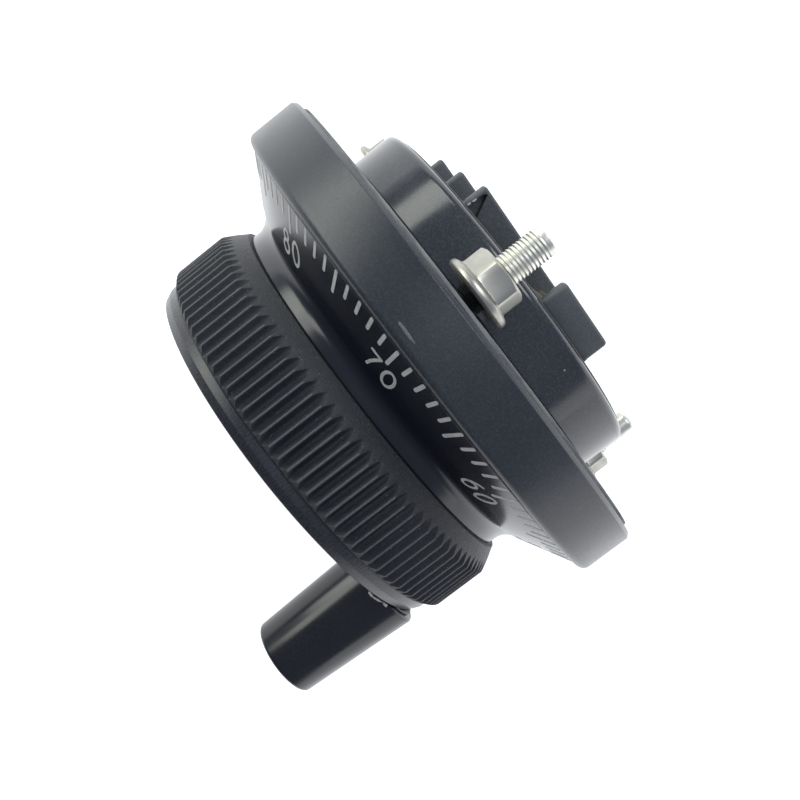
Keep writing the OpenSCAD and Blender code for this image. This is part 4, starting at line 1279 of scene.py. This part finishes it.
def add_flake(name, camera, carrier, size, thick, lean, finish, body, slot):
    """A small uneven flake or smear that lies on a surface at its image point."""
    verts, carrier_faces = finished([carrier])
    tree = BVHTree.FromPolygons(verts, carrier_faces)
    spot, normal = place_on(camera, name, tree, verts)
    _, right, up, _ = camera_axes(camera)
    along = right * math.cos(math.radians(lean)) + up * math.sin(math.radians(lean))
    along = (along - normal * along.dot(normal)).normalized()
    side = normal.cross(along)
    low, high = [], []
    for angle in full_turn(22):
        wave = 1 + 0.35 * noise.noise(Vector((math.cos(angle) * 2, math.sin(angle) * 2, size[0] * 3)))
        flat = along * math.cos(angle) * size[0] * wave + side * math.sin(angle) * size[1] * wave
        foot, foot_normal, _, _ = tree.find_nearest(spot + flat * MM)
        low.append(foot / MM - foot_normal * thick)
        foot, foot_normal, _, _ = tree.find_nearest(spot + flat * 0.8 * MM)
        high.append(foot / MM + foot_normal * thick * (0.6 + 0.4 * min(wave, 1.0)))
    rings = [[spot / MM - normal * thick], low, high, [spot / MM + normal * thick]]
    return hold(make_piece(name, *rings_mesh(rings, False), finish, 60), body, slot)


def middle(spots):
    xs = [p[0] for p in spots]
    ys = [p[1] for p in spots]
    return (min(xs) + max(xs)) / 2, (min(ys) + max(ys)) / 2


def nearest_shown(seen, place):
    """Where the shown vertex nearest a place (in millimetres) shows."""
    target = Vector(place) * MM
    return min(seen, key=lambda item: (item[0] - target).length)[1]


def tip_spot(seen, index):
    """The middle of what shows of a stud's end."""
    tip = Vector(at(STUD_AT, STUD_TIPS[index], STUD_TURNS[index])) * MM
    near = [item[1] for item in seen if item[0].y > tip.y - 0.25 * MM and (item[0] - tip).length < 2.2 * MM]
    return middle(near)


def measure_points(camera, made):
    """Works out where each named thing shows in the image."""
    everything = [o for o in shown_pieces() if o.type == "MESH"]
    verts, faces = finished(everything)
    tree = BVHTree.FromPolygons(verts, faces)
    seen = {name: shown(camera, finished([piece])[0], tree) for name, piece in made.items()}
    outer = ("bezel", "knob", "disc", "grip", "studs", "housing", "block")
    spots = [item[1] for name in outer for item in seen[name]]
    front = [item[1] for item in seen["bezel"] if item[0].y < (BEZEL_FRONT + 1.2) * MM]
    rear = [item[1] for item in seen["bezel"] if item[0].y > (BEZEL_REAR - 0.9) * MM]
    corner = Matrix.Rotation(TERMINAL_TURN, 3, "Y") @ Vector((BLOCK_HALF, BARRIER_TOP, BLOCK_BACK))
    measured = {
        "object_left": (min(p[0] for p in spots), None),
        "object_right": (max(p[0] for p in spots), None),
        "object_top": (None, min(p[1] for p in spots)),
        "object_bottom": (None, max(p[1] for p in spots)),
        "near_stud_tip": tip_spot(seen["studs"], 0),
        "far_stud_tip": tip_spot(seen["studs"], 1),
        "tick_70_end": nearest_shown(seen["ticks"], at(TICK_OUT_R, dial_y(TICK_OUT_R), 0)),
        "grip_far_end": (min(item[1][0] for item in seen["grip"]), None),
        "bezel_front_top": min(front, key=lambda p: p[0] + p[1]),
        "bezel_rear_bottom": max(rear, key=lambda p: p[0] + p[1]),
        "end_wall_corner": nearest_shown(seen["block"], corner),
    }
    for name in set(POINTS) - set(measured):
        measured[name] = middle([item[1] for item in seen[name]])


# ---- The scene ----

# Name, carrier, half length and width, thickness, lean in the image, finish, body and slot
FLAKES = (
    ("bezel_smear", "bezel", (1.7, 0.22), 0.012, -54, SMEAR, "housing", "black_painted"),
    ("grip_burr", "grip", (0.62, 0.20), 0.14, -48, CHIP, "grip", "gloss_black_paint"),
    ("grip_burr_2", "grip", (0.85, 0.16), 0.10, -30, CHIP, "grip", "gloss_black_paint"),
    ("grip_burr_3", "grip", (0.50, 0.22), 0.16, -42, CHIP, "grip", "gloss_black_paint"),
    ("notch_chip", "block", (0.30, 0.16), 0.08, 35, CHIP, "housing", "dark_moulding"),
    ("notch_chip_2", "block", (0.42, 0.13), 0.08, 38, CHIP, "housing", "dark_moulding"),
)


def build():
    finish_cad_nodes()
    camera = add_camera()
    add_floor()
    add_lights()
    made = {"bezel": add_bezel(), "housing": add_housing()}
    add_gasket()
    add_cover()
    made["studs"] = add_fasteners()
    made["block"] = add_terminal_block()
    add_dial()
    made["ticks"], numerals = add_marks()
    for numeral in numerals:
        if numeral.name in POINTS:
            made[numeral.name] = numeral
    made["knob"] = add_knob()
    made["disc"] = add_disc()
    add_cap()
    made["grip"] = add_grip()
    for name, carrier, *rest in FLAKES:
        made[name] = add_flake(name, camera, made[carrier], *rest)
    bpy.context.scene.view_settings.view_transform = "Standard"
    measure_points(camera, made)


build()
